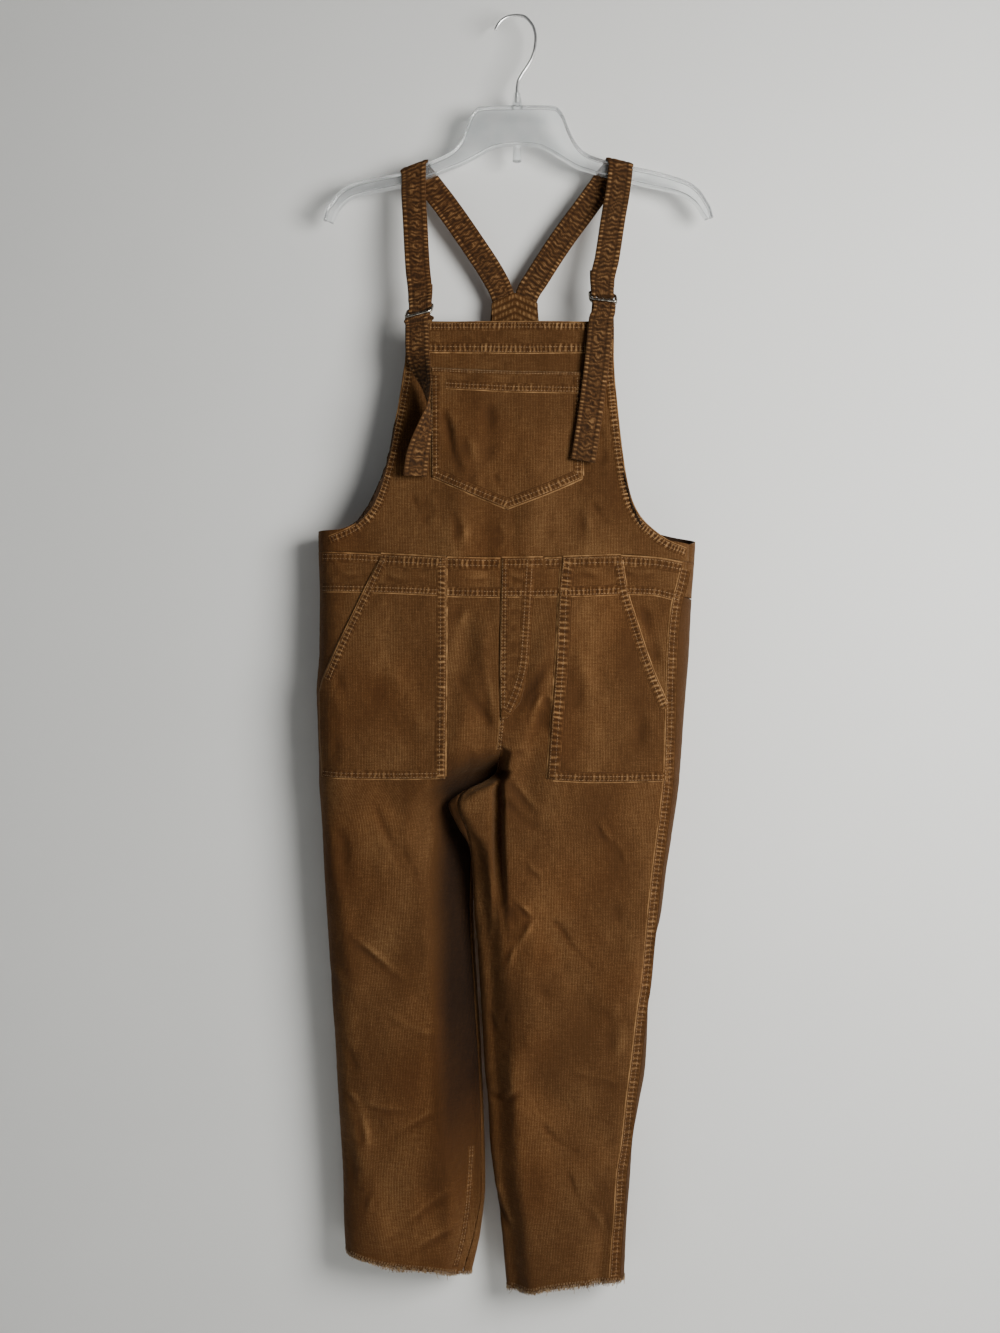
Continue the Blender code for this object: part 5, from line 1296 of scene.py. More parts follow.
HIP_R = [(599, 597.5, -148, -77), (634, 636, -167, -77), (691, 691, -194, -77), (732, 732, -211.5, -77),
         (746, 746, -215.5, -77), (800, 800, -214.5, -77), (829, 834, -212.5, -77.5),
         (836.5, 839, -212, -78)]
HIP_L = [(600, 598, 48.5, 112), (636, 635, 44.5, 119), (664, 662, 43, 127), (722, 720, 40, 146),
         (765, 763, 36.5, 164), (800, 800, 34, 163.5), (838.5, 842, 31.5, 161.5)]
FLY = [(600.5, 599, -17, 18), (662, 662, -18.6, 14), (716, 716, -20, 10.5), (742, 742, -19.5, 7.5),
       (757, 756, -18.5, 3.5), (768, 764, -18.2, -3), (777, 773, -18.2, -11)]
four_sided("hip_pocket_r_cloth", "hip_pocket_r", front, HIP_R, lift=2.3, seed=71)
four_sided("hip_pocket_l_cloth", "hip_pocket_l", front, HIP_L, lift=2.3, seed=73)
four_sided("fly_flap_cloth", "fly_flap", front, FLY, lift=2.0, seed=77)

# %% [markdown]
# ## Seams
# Two rows of stitching hold each folded edge. The thread draws up a little in the wash, so the
# cloth between the rows puckers into short ridges about five millimetres apart, some strong and
# some faint, and they wear pale. The fold itself wears to a thin pale line. This is what makes
# old work clothes look the way they do, so each seam is its own narrow strip of fine mesh laid
# over the edge, with a small mesh for each stitch.

# %% Puckered bands
BAND_STEP = 1.08         # between the rows of points along a band
ACROSS = np.array([-1, -0.94, -0.87, -0.7, -0.5, -0.26, 0, 0.26, 0.5, 0.7, 0.87, 0.94, 1])


def even_path(points, step):
    """A smooth path through x and drop in turn, resampled evenly, and its sideways direction."""
    points = np.reshape(points, (-1, 2)).astype(float)
    s = along(points)
    rough = np.linspace(0, s[-1], max(8, int(s[-1] / 4)))
    line = columns_at(rough, s, points, smoothly)
    s = along(line)
    at = np.linspace(0, s[-1], max(4, int(s[-1] / step)))
    line = columns_at(at, s, line)
    way = unit(np.gradient(line, axis=0))
    return at, line, np.stack([-way[:, 1], way[:, 0]], -1)


def puckers(s, t, pitch, seed):
    """Uneven short ridges across a band, from 0 to 1: no two are as wide or as strong."""
    chance = np.random.default_rng(seed)
    count = int(s[-1] / pitch) + 4
    marks = np.cumsum(pitch * chance.uniform(0.72, 1.28, count)) - pitch
    turns = np.interp(s, marks, np.arange(count))
    force = np.interp(s, marks, chance.uniform(0.55, 1.0, count))
    force = force * (0.92 + 0.2 * soft_noise(s, 0 * s, 70, seed + 5))
    slant = 0.16 * soft_noise(s, 0 * s, 34, seed + 6)
    bend = 0.10 * soft_noise(s[:, None], 11 * t[None, :], 14, seed + 7)
    wave = 0.5 + 0.5 * np.cos(2 * math.pi * (turns[:, None] + slant[:, None] * t + bend))
    return wave ** 1.4 * np.clip(force, 0.1, 1.1)[:, None]


def band_points(surface, seam, seed):
    """A puckered strip over the cloth: its points, its wear and painted shade, and the lines of its
    stitches.
    """
    s, line, side = even_path(seam.path, BAND_STEP)
    t = ACROSS               # from -1 to 1 across the band, closer together at its edges
    place = line[:, None, :] + side[:, None, :] * (t * seam.width / 2)[None, :, None]
    y = softened(mended(surface.depth(place[..., 0], place[..., 1])), 1)
    wave = puckers(s, t, seam.pitch, seed)
    inward = t * (seam.edge or 1)
    if seam.edge:
        first, second = 0.52, -0.22
        zone = smoothstep((0.70 - inward) / 0.2) * smoothstep((inward + 1.0) / 0.75)
        fold = np.exp(-((inward - 0.90) / 0.06) ** 2)
    else:
        first, second = 0.40, -0.40
        zone = smoothstep((1 - np.abs(t)) / 0.55)
        fold = 0 * t
    rows = np.exp(-((inward - first) / 0.09) ** 2) + np.exp(-((inward - second) / 0.09) ** 2)
    wavy = (0.75 + 0.45 * soft_noise(s, 0 * s, 16, seed + 8))[:, None]
    height = 0.22 * smoothstep((1 - np.abs(t)) / 0.25) + 1.15 * seam.strength * wave * zone
    height = height + (0.26 * fold * wavy - 0.25 * rows * (1 - 0.3 * wave))
    points = np.stack([place[..., 0], y - surface.way * height, -place[..., 1]], -1)
    # The pucker ridges and the fold wear pale, and the gaps between the ridges get painted shade.
    wear_and_shade = 0.48 + seam.strength * (0.66 * wave - 0.24) * zone + 0.42 * fold * wavy + 0.05 * rows
    # A thin dark line just outside the fold is its painted shadow.
    wear_and_shade = wear_and_shade - 0.25 * (np.abs(inward) > 0.98) * (1 if seam.edge else 0)
    wear_and_shade = wear_and_shade + 0.05 * soft_noise(place[..., 0], place[..., 1], 9, seed + 3)
    stitches = [np.stack([columns_at(at * (seam.edge or 1), t, row) for row in points])
                for at in (first, second)]
    return points, wear_and_shade, stitches


class Joined:
    """Many small meshes gathered into one piece."""

    def __init__(self):
        self.points, self.faces, self.grain, self.wear_and_shade, self.count = [], [], [], [], 0

    def add(self, points, faces, grain, wear_and_shade):
        self.points.append(points.reshape(-1, 3))
        self.faces.append(np.asarray(faces) + self.count)
        self.grain.append(grain.reshape(-1, 2))
        self.wear_and_shade.append(np.ravel(wear_and_shade))
        self.count += points.reshape(-1, 3).shape[0]

    def piece(self, name, finish, slot):
        made = new_piece(name, np.concatenate(self.points), np.concatenate(self.faces),
                         np.concatenate(self.grain), np.concatenate(self.wear_and_shade), finish)
        print(name, len(made.data.polygons), "faces")
        return made


print("points across a band:", len(ACROSS))

# %% [markdown]
# A stitch is a short pad of thread that dips into the cloth at both ends. Eight points are
# enough for its shape, because there are thousands of them, and each differs a little in shade.

# %% Stitches
STITCH = np.array([(-1, 0, 0), (-0.45, 0.5, 0), (-0.45, 0, 0.75), (-0.45, -0.5, 0),
                   (0.45, 0.5, 0), (0.45, 0, 0.75), (0.45, -0.5, 0), (1, 0, 0)], float)
STITCH_FACES = np.array([(0, 1, 2), (0, 2, 3), (1, 4, 5), (1, 5, 2),
                         (2, 5, 6), (2, 6, 3), (4, 7, 5), (5, 7, 6)])
STITCH_HEIGHT, STITCH_SINK = 0.384, 0.12
STITCH_HALF_WIDTH = 0.48


def sew(stitches, line, way, seed, length=2.2, gap=0.9):
    """Stitches along a line of points. way is +1 in front of the garment and -1 behind."""
    s = along(line)
    count = int(s[-1] / (length + gap))
    if count < 1:
        return
    chance = np.random.default_rng(seed)
    centre = (np.arange(count) + 0.5) * (length + gap)
    start, end = (columns_at(centre + way_on * length / 2, s, line) for way_on in (-1, 1))
    ahead = (end - start) / 2
    out = np.array([0.0, -way, 0.0])
    sideways = unit(np.cross(ahead, out))
    up = unit(np.cross(sideways, ahead))
    up = up * np.sign(up @ out)[:, None]
    middle = (start + end) / 2 + up * STITCH_SINK
    local = STITCH[None, :, :]
    points = middle[:, None] + local[..., :1] * ahead[:, None]
    points = points + local[..., 1:2] * STITCH_HALF_WIDTH * sideways[:, None]
    points = points + local[..., 2:] * STITCH_HEIGHT * up[:, None]
    faces = (STITCH_FACES[None] + (np.arange(count) * 8)[:, None, None]).reshape(-1, 3)
    wear_and_shade = np.repeat(chance.uniform(0.15, 0.85, count), 8)
    stitches.add(points, faces, points[..., [0, 2]].copy(), wear_and_shade)


print("faces of a stitch:", len(STITCH_FACES))

# %% [markdown]
# The routes of the seams follow the folded edges of the pieces, a few millimetres in. They are
# given as x and drop in turn, with the band's width, the side that is folded, how strongly it
# puckers, and how far apart the puckers stand.

# %% Where the seams run
# edge is the side of the path on which the cloth is folded: +1 is to the left of a path drawn
# downward and below one drawn to the right, -1 is the other side, and 0 is a seam with none.
Seam = namedtuple("Seam", "path width edge strength pitch")
FRONT_SEAMS = rows_of(Seam,
    # The bib's top edge, its top hem and its sides.
    ((-116, 346, -60, 345.5, 0, 345, 60, 345.5, 101, 346), 11, -1, 0.8, 4.4),
    ((-116, 369, -60, 369.5, 0, 370, 60, 369.5, 101, 369), 13, 1, 0.75, 5),
    ((-115.8, 360.3, -117.8, 392.5, -123.9, 430.7, -128.9, 455.8, -134.9, 488.9, -142, 516.2, -151.2,
      541.9, -164.1, 560, -183, 572.7, -203.4, 580.9), 11, 1, 0.9, 4.6),
    ((99.8, 360.1, 100.8, 395.2, 103.8, 430.4, 107.8, 470.5, 112.9, 508.7, 119, 536.3, 128.5, 556.4,
      144.3, 573.2, 164, 586.7, 182.5, 593.9), 11, -1, 0.9, 4.6),
    # The bib's pocket: mouth, hem of the mouth, sides and foot.
    ((-93, 394, -45, 396.5, 0, 397.5, 35, 398, 70, 398.5), 5, -1, 0.12, 5),
    ((-78, 410, -45, 412, 0, 414, 35, 414.5, 69, 415), 11, 1, 0.5, 4.6),
    ((-90, 400, -89.5, 450, -89, 510), 12, 1, 0.55, 5),
    ((67, 402, 67, 450, 67, 510), 12, -1, 0.5, 5),
    ((-90, 508, -50, 525.5, -11, 541.5), 13, 1, 0.55, 5),
    ((-11, 541.5, 30, 526, 68, 509), 13, 1, 0.55, 5),
    # Above the waistband, from the viewer's left to the right.
    ((-212, 599, -180, 600, -148, 602), 12, -1, 0.35, 5.4),
    ((-148, 602, -110, 604, -79, 606), 16, -1, 0.75, 5.6),
    ((-76, 606, -48, 606.5, -19, 607), 15, -1, 0.7, 5.4),
    ((-17, 606, 8, 606, 28, 605.5), 15, -1, 0.5, 5.4),
    ((30, 606, 48, 605), 13, -1, 0.5, 5.4),
    ((50, 605, 80, 604, 112, 603), 15, -1, 0.6, 5.4),
    ((112, 603.5, 150, 606, 178, 611), 14, -1, 0.55, 5.8),
    # Below the waistband, in the same order.
    ((-212, 632, -185, 632.5, -166, 633), 11, 1, 0.35, 5),
    ((-166, 633, -125, 634.5, -84, 636.5), 11, 1, 0.45, 4.6),
    ((-76, 637, -48, 637.5, -19, 638), 12, 1, 0.7, 4.6),
    ((-17, 638, 10, 638, 45, 637.5), 11, 1, 0.55, 4.4),
    ((48, 637.5, 80, 636.5, 112, 635), 12, 1, 0.7, 4.4),
    ((118, 635, 145, 636, 176, 643), 11, 1, 0.5, 4.8),
    # The right hip pocket: inner side, foot and mouth.
    ((-81.5, 600, -81.5, 700, -82.5, 836), 13, -1, 0.75, 5.6),
    ((-211, 832, -190, 833.5, -131, 834.5, -84, 833.5), 11, 1, 0.4, 5.4),
    ((-144.3, 601, -161.8, 639, -186.8, 692, -204.8, 733), 11, 1, 0.75, 5),
    # The left hip pocket, in the same order.
    ((54.5, 600, 51, 641, 48, 703, 45, 744, 41, 796, 38, 838), 16, 1, 0.8, 5.9),
    ((38, 835.5, 84, 837.5, 158, 836), 12, 1, 0.6, 5),
    ((109, 603, 114.5, 637, 122.5, 664, 141, 720, 159, 763), 12, -1, 0.75, 5),
    # The fly's edge, its curved stitching, and the seam below it.
    ((-13.5, 602, -14.5, 690, -15, 764), 9, 1, 0.5, 4.8),
    ((13.5, 602, 10, 662, 6, 716, 0, 740, -7, 758, -12, 768), 13, 0, 0.45, 5.2),
    ((-16, 772, -17.5, 790, -19.5, 808), 7, 1, 0.4, 4.6),
    # The left side seam, the right inseam and the hems.
    ((182, 612, 177, 632, 172, 650, 168, 682, 165.8, 724, 164.5, 770, 163.5, 807, 162, 842, 159, 870, 154,
      911, 146.5, 977, 143, 1019, 139.8, 1058, 134.6, 1093, 129, 1141, 123, 1188, 118.4, 1236, 112.8,
     1270, 110.2, 1317, 108, 1341, 105.5, 1382), 13, 1, 0.55, 5.2),
    ((-50, 1245, -53.5, 1300, -58, 1335, -64, 1362, -68, 1374), 7, 0, 0.25, 5.4),
    ((-182, 1355, -168, 1358.5, -134, 1366.5, -86, 1371.5, -66, 1379), 3.4, 0, 0.3, 3),
    ((-7, 1395.5, 8, 1395.5, 32, 1390.5, 67, 1386, 100, 1383.5, 112, 1384), 3.4, 0, 0.3, 3),
)
BACK_SEAMS = rows_of(Seam,
    # Down the middle.
    ((-2.5, 380, -8, 480, -16, 590), 13, 1, 0.55, 5.2),
    ((-18, 645, -19, 720, -19, 800), 13, 1, 0.6, 5.4),
    # Above and below the waistband.
    ((-205, 601, -150, 603, -78, 607.5, 28, 607.5, 113, 604, 150, 606, 175, 611), 14, -1, 0.6, 5.4),
    ((-205, 634, -90, 639.5, -20, 641, 44, 641.5, 109, 638, 170, 643), 12, 1, 0.55, 4.8),
    # Round the armholes.
    ((-27, 345, -36, 368, -49, 402, -67, 448, -91, 494, -118, 528, -150, 552), 10, 1, 0.6, 4.8),
    ((22, 345, 31, 368, 44, 402, 62, 448, 84, 495, 108, 530, 138, 562), 10, -1, 0.6, 4.8),
    # The right side seam.
    ((-206, 655, -205, 750, -202, 860, -196, 960, -189, 1084, -182, 1197, -177, 1293, -174, 1350), 12, 0,
      0.5, 5.2),
)

print("seams:", len(FRONT_SEAMS), "in front and", len(BACK_SEAMS), "behind")

# %% Sewing
bands = {}
SEWING = (("front", front, FRONT_SEAMS, 200), ("back", back, BACK_SEAMS, 700))
for face, surface, seams, first_seed in SEWING:
    strips, stitches = Joined(), Joined()
    for number, seam in enumerate(seams):
        seed = first_seed + 7 * number
        points, wear_and_shade, lines = band_points(surface, seam, seed)
        rows, columns = points.shape[:2]
        s = np.arange(rows) * BAND_STEP
        grain = np.stack(np.broadcast_arrays((ACROSS * seam.width / 2)[None, :], s[:, None]), -1)
        faces = grid_faces(rows, columns)
        out = np.cross(points[1:, :-1] - points[:-1, :-1], points[:-1, 1:] - points[:-1, :-1])
        if out[..., 1].mean() * surface.way > 0:
            faces = faces[:, ::-1]
        strips.add(points, faces, grain, wear_and_shade)
        for k, line in enumerate(lines):
            sew(stitches, line, surface.way, seed + k)
    bands[face] = strips.piece(f"{face}_seam_bands", cloth, "corduroy")
    bands[face + "_thread"] = stitches.piece(f"{face}_stitches", thread, "corduroy")

# %% [markdown]
# ## Straps
# A strap is a long strip folded double and stitched along both edges. Two parts make each one:
# a shoulder strap comes up from the back, over the hanger and down to the buckle, and a short
# bib strap passes up through both rings, over, and down again to its free end. Each is drawn
# through stations, which give its middle, its width, and how the line across it leans and turns.

# %% Stations of the straps
Station = namedtuple("Station", "x drop y width lean turn", defaults=(0.0, 0.0))
Buckle = namedtuple("Buckle", "x drop y lean")
STRAP_CLOTH = 2.6        # a strap is folded cloth, two layers
STRAP_WIDTH = 27.0
STRAP_WIDTH_IN_RING = 21.8
RING_WIRE = 1.1          # radius of the buckle wire
RING_HALF_WIDTH = 14.3
RING_HEIGHT = 10.8
BIB_TOP = 340.0
ARM_THICKNESS = 8.0
BUCKLES = {"r": Buckle(-106.0, 325.0, -15.2, 15.0), "l": Buckle(93.2, 309.5, -14.4, -7.0)}
BAR_SPREAD = 1.6         # the two upper bars stand this far before and behind the middle
HALF_TURN = 0.71         # share of a bend's radius that it has covered half way round
NECK_Y = 7.6             # where the straps lie behind the neck


def hanging(b, y, depth, width):
    """A station of a strap in a leaning buckle, `depth` below the buckle's bars."""
    lean = math.radians(b.lean)
    below = max(depth, 0.0)
    x = b.x - below * math.sin(lean)
    return Station(x, b.drop + min(depth, 0.0) + below * math.cos(lean), y, width, -b.lean)


def shoulder_stations(side):
    b = BUCKLES[side]
    w = STRAP_WIDTH
    narrow = STRAP_WIDTH_IN_RING
    close = STRAP_CLOTH / 2 + 0.3
    bend = RING_WIRE + 0.9 + STRAP_CLOTH / 2
    half = BAR_SPREAD + bend
    rim = ARM_THICKNESS / 2
    clear = 0.5 + STRAP_CLOTH / 2
    arm = rim + clear
    loop = [
        Station(b.x, b.drop - 26, b.y + close, w),
        Station(b.x, b.drop - 12, b.y + close, w - 1, -b.lean),
        hanging(b, b.y + half, -3.0, narrow),
        hanging(b, b.y + half, 0.0, narrow),
        hanging(b, b.y + BAR_SPREAD + HALF_TURN * bend, HALF_TURN * bend, narrow),
        hanging(b, b.y + BAR_SPREAD, bend, narrow),
        hanging(b, b.y - BAR_SPREAD, bend, narrow),
        hanging(b, b.y - BAR_SPREAD - HALF_TURN * bend, HALF_TURN * bend, narrow),
        hanging(b, b.y - half, 0.0, narrow),
        hanging(b, b.y - half, -3.0, narrow),
        Station(b.x, b.drop - 12, b.y - close, w - 1, -b.lean),
    ]
    # Over the hanger: the strap turns round the front and then the back corner of the rim.
    x, slope, edge = (-111.5, -21, 166.2) if side == "r" else (111.5, 13, 162.0)
    over = [
        Station(x - step * OUTWARD[side],
                edge - clear * rise - step * OUTWARD[side] * math.tan(math.radians(slope)), y, w, slope)
        for step, rise, y in (
            (-2.4, -2.0, -arm), (-2.0, 0.0, -arm), (-1.5, HALF_TURN, -rim - HALF_TURN * clear),
            (-1.0, 1.0, -rim), (0.0, 1.0, 0.0), (1.0, 1.0, rim),
            (1.6, HALF_TURN, rim + HALF_TURN * clear), (2.2, 0.0, arm), (3.4, -2.0, arm),
        )
    ]
    if side == "r":
        front = rows_of(Station,
            (-109.0, 280, -15.4, w), (-112, 228, -11.2, w),
            (-114, 190, -arm - 1.0, w, slope / 2),
        )
        back = rows_of(Station,
            (-98.5, 181, arm + 0.6, w, -30), (-78, 207.5, arm + 1.2, w, -34),
            (-50, 247.5, arm + 1.4, w, -34), (-27.5, 282, NECK_Y, w, -30),
            (-17, 303, NECK_Y, 25, -25), (-14, 315, NECK_Y, 22, -20),
            (-13, 325, NECK_Y, 20, -10),
        )
    else:
        front = rows_of(Station,
            (98.5, 270, -14.4, w), (105.5, 225, -11.0, w),
            (111.5, 190, -arm - 1.0, w, slope / 2),
        )
        back = rows_of(Station,
            (97.5, 179, arm + 0.6, w, 20), (78, 206, arm + 1.2, w, 34),
            (50, 244, arm + 1.4, w, 34), (22, 287, NECK_Y, w, 30),
            (11.8, 304, NECK_Y, 25, 25), (8.8, 315, NECK_Y, 22, 20),
            (7.8, 325, NECK_Y, 20, 10),
        )
    return loop + front + over + back


def bib_stations(side):
    b = BUCKLES[side]
    w, narrow = STRAP_WIDTH, STRAP_WIDTH_IN_RING
    rear, fore = b.y + 2.4, b.y - 4.4
    flat = table_at(LEVELS_R, BIB_TOP + 6).front
    behind = flat + CLOTH + 0.45 + STRAP_CLOTH / 2
    middle, half = (rear + fore) / 2, (rear - fore) / 2
    top = RING_WIRE + 0.35 + STRAP_CLOTH + 1.1 + STRAP_CLOTH / 2
    turn = [
        Station(b.x, BIB_TOP + 34, behind + 0.5, w - 2),
        Station(b.x, BIB_TOP + 8, behind, w - 2),
        Station(b.x, BIB_TOP - 2, max(behind - 0.6, rear), w - 2.5),
        hanging(b, rear, top + half, narrow),
        hanging(b, rear - half * 0.3, top + half * 0.3, narrow),
        hanging(b, middle, top, narrow),
        hanging(b, fore + half * 0.3, top + half * 0.3, narrow),
        hanging(b, fore, top + half, narrow),
        hanging(b, fore - 0.2, 16, narrow),
    ]
    if side == "r":
        end = rows_of(Station,
            (-109, 352, -23, 25), (-108.5, 374, -29, 26, 0, 12),
            (-104, 396, -36, w, 0, 42), (-97.5, 418, -41.5, w, 0, 70),
            (-95.5, 436, -43.5, w, 0, 90), (-98, 452, -43, w, 0, 112),
            (-104, 474, -40, w, 0, 138), (-108.5, 494, -37.5, w, 0, 156),
            (-110.5, 512, -36, w - 2, 0, 162),
        )
    else:
        end = rows_of(Station,
            (91, 340, -21, 25), (88.5, 366, -24.5, 26.5, 5),
            (84.8, 400, -26.5, w, 8), (79, 444, -29, w, 9),
            (74.4, 474, -31, w, 9), (71, 495, -32.5, w, 9),
        )
    return turn + end


print("shoulder straps drawn through", len(shoulder_stations("r")), "stations")

# %% [markdown]
# A strap's mesh is a closed cross-section that is carried through the stations. A furrow near
# each edge marks a row of stitches. Outside it the cloth is drawn into pads, and down the
# middle into a wavy ridge.

# %% The surface of a strap
HALF_SECTION = 21        # points across one face of a strap
STRAP_STEP = 1.12        # between the sections along a strap
STITCH_ROW = 0.575       # where a row of stitches runs, as a share of the half width


def strap_points(stations, seed):
    """The strap's surface as closed cross-sections, with grain, and wear with painted shade, for each
    point.
    """
    knots = along(np.array([[p.x, p.drop, p.y] for p in stations], float))
    s = np.linspace(0, knots[-1], int(knots[-1] / STRAP_STEP) + 2)
    read = {k: smooth_through(knots, [getattr(p, k) for p in stations], s) for k in Station._fields}
    centre = np.stack([read["x"], read["y"], -read["drop"]], -1)
    tangent = unit(np.gradient(centre, s, axis=0))
    lean, turn = np.radians(read["lean"]), np.radians(read["turn"])
    over = np.stack([np.cos(lean) * np.cos(turn), -np.cos(lean) * np.sin(turn), -np.sin(lean)], -1)
    through = np.cross(tangent, over)
    width = STRAP_WIDTH - 0.45 * (STRAP_WIDTH - read["width"])
    reach = width / 2 / np.linalg.norm(through, axis=1)
    through = unit(through)
    a = (np.sin(np.linspace(-math.pi / 2, math.pi / 2, HALF_SECTION)) * 0.4
         + np.linspace(-1, 1, HALF_SECTION) * 0.6)
    loop_a = np.concatenate([a, a[::-1]])
    loop_side = np.concatenate([np.ones(HALF_SECTION), -np.ones(HALF_SECTION)])
    S, A = s[:, None], loop_a[None, :]
    face = np.where(loop_side > 0, 0.0, 17.0)[None, :]
    half = STRAP_CLOTH / 2 * np.sqrt(np.clip(1 - np.abs(A) ** 9, 0.02, 1)) * 0.86
    # Between each row of stitches and its edge the cloth is drawn into a ladder of small pads.
    pads = np.zeros(np.broadcast(S, A).shape)
    for sign, offset in ((-1, 0), (1, 50)):
        pad = puckers(s, np.ones(1), 4.6, seed + offset) * np.exp(-((A * sign - 0.77) / 0.21) ** 4)
        pads = np.where(A * sign > 0, pad, pads)
    # Down the middle it wrinkles like a worm's trail.
    bend = soft_noise(S + face, A * 13, 8, seed + 1)
    swing = 2.8 * soft_noise(S, A * 13, 12, seed + 2)
    trail = np.sin(2 * math.pi * (S + face + 1.6 * bend) / 5.2 + swing)
    trail = 1 - 2.0 * (0.5 - 0.5 * trail) ** 1.5
    middle = np.exp(-(A / 0.56) ** 6) * (0.85 + 0.22 * soft_noise(S, A * 13, 15, seed + 3))
    furrow = np.exp(-((np.abs(A) - STITCH_ROW) / 0.05) ** 2)
    height = half + 0.75 * pads + 0.42 * trail * middle - 0.40 * furrow
    points = (centre[:, None, :] + A[..., None] * (over * reach[:, None])[:, None, :]
              + (height * loop_side)[..., None] * through[:, None, :])
    # Pads, the crests of the middle ridge and the edges wear pale; the stitched furrows and the ridge's
    # troughs get painted shade.
    wear_and_shade = 0.22 + 0.70 * pads + middle * (0.27 * trail + 0.15) - 0.14 * furrow
    wear_and_shade = wear_and_shade + 0.30 * np.exp(-((np.abs(A) - 0.985) / 0.02) ** 2)
    grain = np.stack(np.broadcast_arrays(A * read["width"][:, None] / 2, S + 40 * face), -1)
    return points, grain, wear_and_shade, knots[-1]


print("a strap's cross-section has", 2 * HALF_SECTION, "points")


# %% Strap meshes
def strap_piece(name, stations, seed):
    points, grain, wear_and_shade, length = strap_points(stations, seed)
    rows, columns = points.shape[:2]
    faces = grid_faces(rows, columns, closed=True).tolist()
    faces.append(list(range(columns))[::-1])
    faces.append([(rows - 1) * columns + k for k in range(columns)])
    made = new_piece(name, points, faces, grain, wear_and_shade, strap_cloth)
    bm = bmesh.new()
    bm.from_mesh(made.data)
    bmesh.ops.recalc_face_normals(bm, faces=bm.faces)
    bm.to_mesh(made.data)
    bm.free()
    strap_lengths[name] = length
    print(name, "is", round(length), "mm long")
    return made


straps, strap_lengths = {}, {}
for side in ("r", "l"):
    for kind, stations in (("shoulder", shoulder_stations(side)), ("bib", bib_stations(side))):
        name = f"{kind}_strap_{side}"
        straps[name] = strap_piece(f"{name}_cloth", stations, 300 + 10 * len(straps))
        stands_for(straps[name], name)

# %% [markdown]
# ## The double rings
# Each buckle is a pair of wire rings, rounded rectangles bent from one wire. They hang together
# from the loop of the shoulder strap, and the bib strap is held by the friction between them.

# %% Rings
def ring_outline(b, bar_y, bow_y):
    """Points of one ring: its straight bar above and its bow below."""
    rise = math.sqrt(RING_HEIGHT**2 - (bow_y - bar_y) ** 2)
    w, low, corner, top = RING_HALF_WIDTH, RING_HEIGHT, 3.5, 1.9
    turns = np.linspace(0, math.pi / 2, 9)
    right = [(w - top + top * math.sin(a), top - top * math.cos(a)) for a in turns]
    right += [(w - corner + corner * math.cos(a), low - corner + corner * math.sin(a)) for a in turns]
    outline = right + [(-x, d) for x, d in right[::-1]]
    lean = math.radians(b.lean)
    for x, d in outline:
        share = d / RING_HEIGHT
        px = x * math.cos(lean) - share * rise * math.sin(lean)
        drop = -x * math.sin(lean) + share * rise * math.cos(lean)
        yield ((b.x + px) * MM, (b.y + bar_y + (bow_y - bar_y) * share) * MM, -(b.drop + drop) * MM)


def wire(name, points, radius, finish, cyclic):
    curve = bpy.data.curves.new(name, "CURVE")
    curve.dimensions = "3D"
    curve.bevel_depth = radius * MM
    curve.bevel_resolution = 5
    curve.use_fill_caps = True
    spline = curve.splines.new("POLY")
    spline.points.add(len(points) - 1)
    spline.use_cyclic_u = cyclic
    for point, place in zip(spline.points, points):
        point.co = (*place, 1.0)
    return on_body(name, curve, finish)


FRONT_BOW, REAR_BOW = -7.7, -1.0      # how far the foot of each ring stands from the middle
PLATING = 0.2
for side, b in BUCKLES.items():
    for kind, bar_y, bow_y in (("front", -BAR_SPREAD, FRONT_BOW), ("rear", BAR_SPREAD, REAR_BOW)):
        outline = list(ring_outline(b, bar_y, bow_y))
        made = wire(f"{kind}_ring_{side}", outline, RING_WIRE + PLATING, ring_metal, True)
        stands_for(made, f"buckle_{kind}_ring_{side}")
print("rings are", 2 * (RING_HALF_WIDTH + RING_WIRE), "mm wide")

# %% [markdown]
# ## The facing behind the neck
# Inside the back's point a small facing covers the ends of the straps. It is sewn down with
# slanted rows that meet in the middle.

# %% Back facing
FACING_HALF_WIDTH, FACING_FOOT, FACING_Y = 25.6, 350.0, 4.9
FACING_ROWS, ROW_PITCH = 6, 7.6
part = np.linspace(-1, 1, 60)
share = np.linspace(0, 1, 56)[:, None]
x = BACK_CENTRE + FACING_HALF_WIDTH * part
top = BACK_PEAK + 0.47 * np.abs(x - BACK_CENTRE)
drop = top + (FACING_FOOT - top) * share
x = np.broadcast_to(x, drop.shape)
rise = 0.10 * soft_noise(x, drop, 12, 91)
for row in range(FACING_ROWS):
    off = drop - top - 3.5 - ROW_PITCH * row
    pads = puckers(part * FACING_HALF_WIDTH + 26, np.ones(1), 4.6, 92 + row)[:, 0][None, :]
    stitched, padded = np.exp(-((off - 3.6) / 0.7) ** 2), np.exp(-(off / 2.2) ** 4)
    rise = rise - 0.30 * stitched + (0.15 + 0.45 * pads) * padded
points = np.stack([x, FACING_Y - np.clip(rise, -0.3, 0.6), -drop], -1)
# Its tone follows its height: the pads wear pale and the stitched furrows get painted shade.
facing = new_piece("back_facing_cloth", points, grid_faces(*points.shape[:2]),
                   np.stack([x, drop], -1), 0.44 + 0.45 * rise, cloth, 1.0)
cloth_instead("back_facing", facing)

# %% [markdown]
# ## Frayed hems
# The legs were cut off and never hemmed. The crosswise threads have dropped away, and the
# lengthwise ones hang as a fringe. It is a few millimetres long, thick in some places and
# thin in others, with curled ends and a few long strays.

# %% Fray
KNOTS, ROUND = 5, 3        # points along a thread and round it


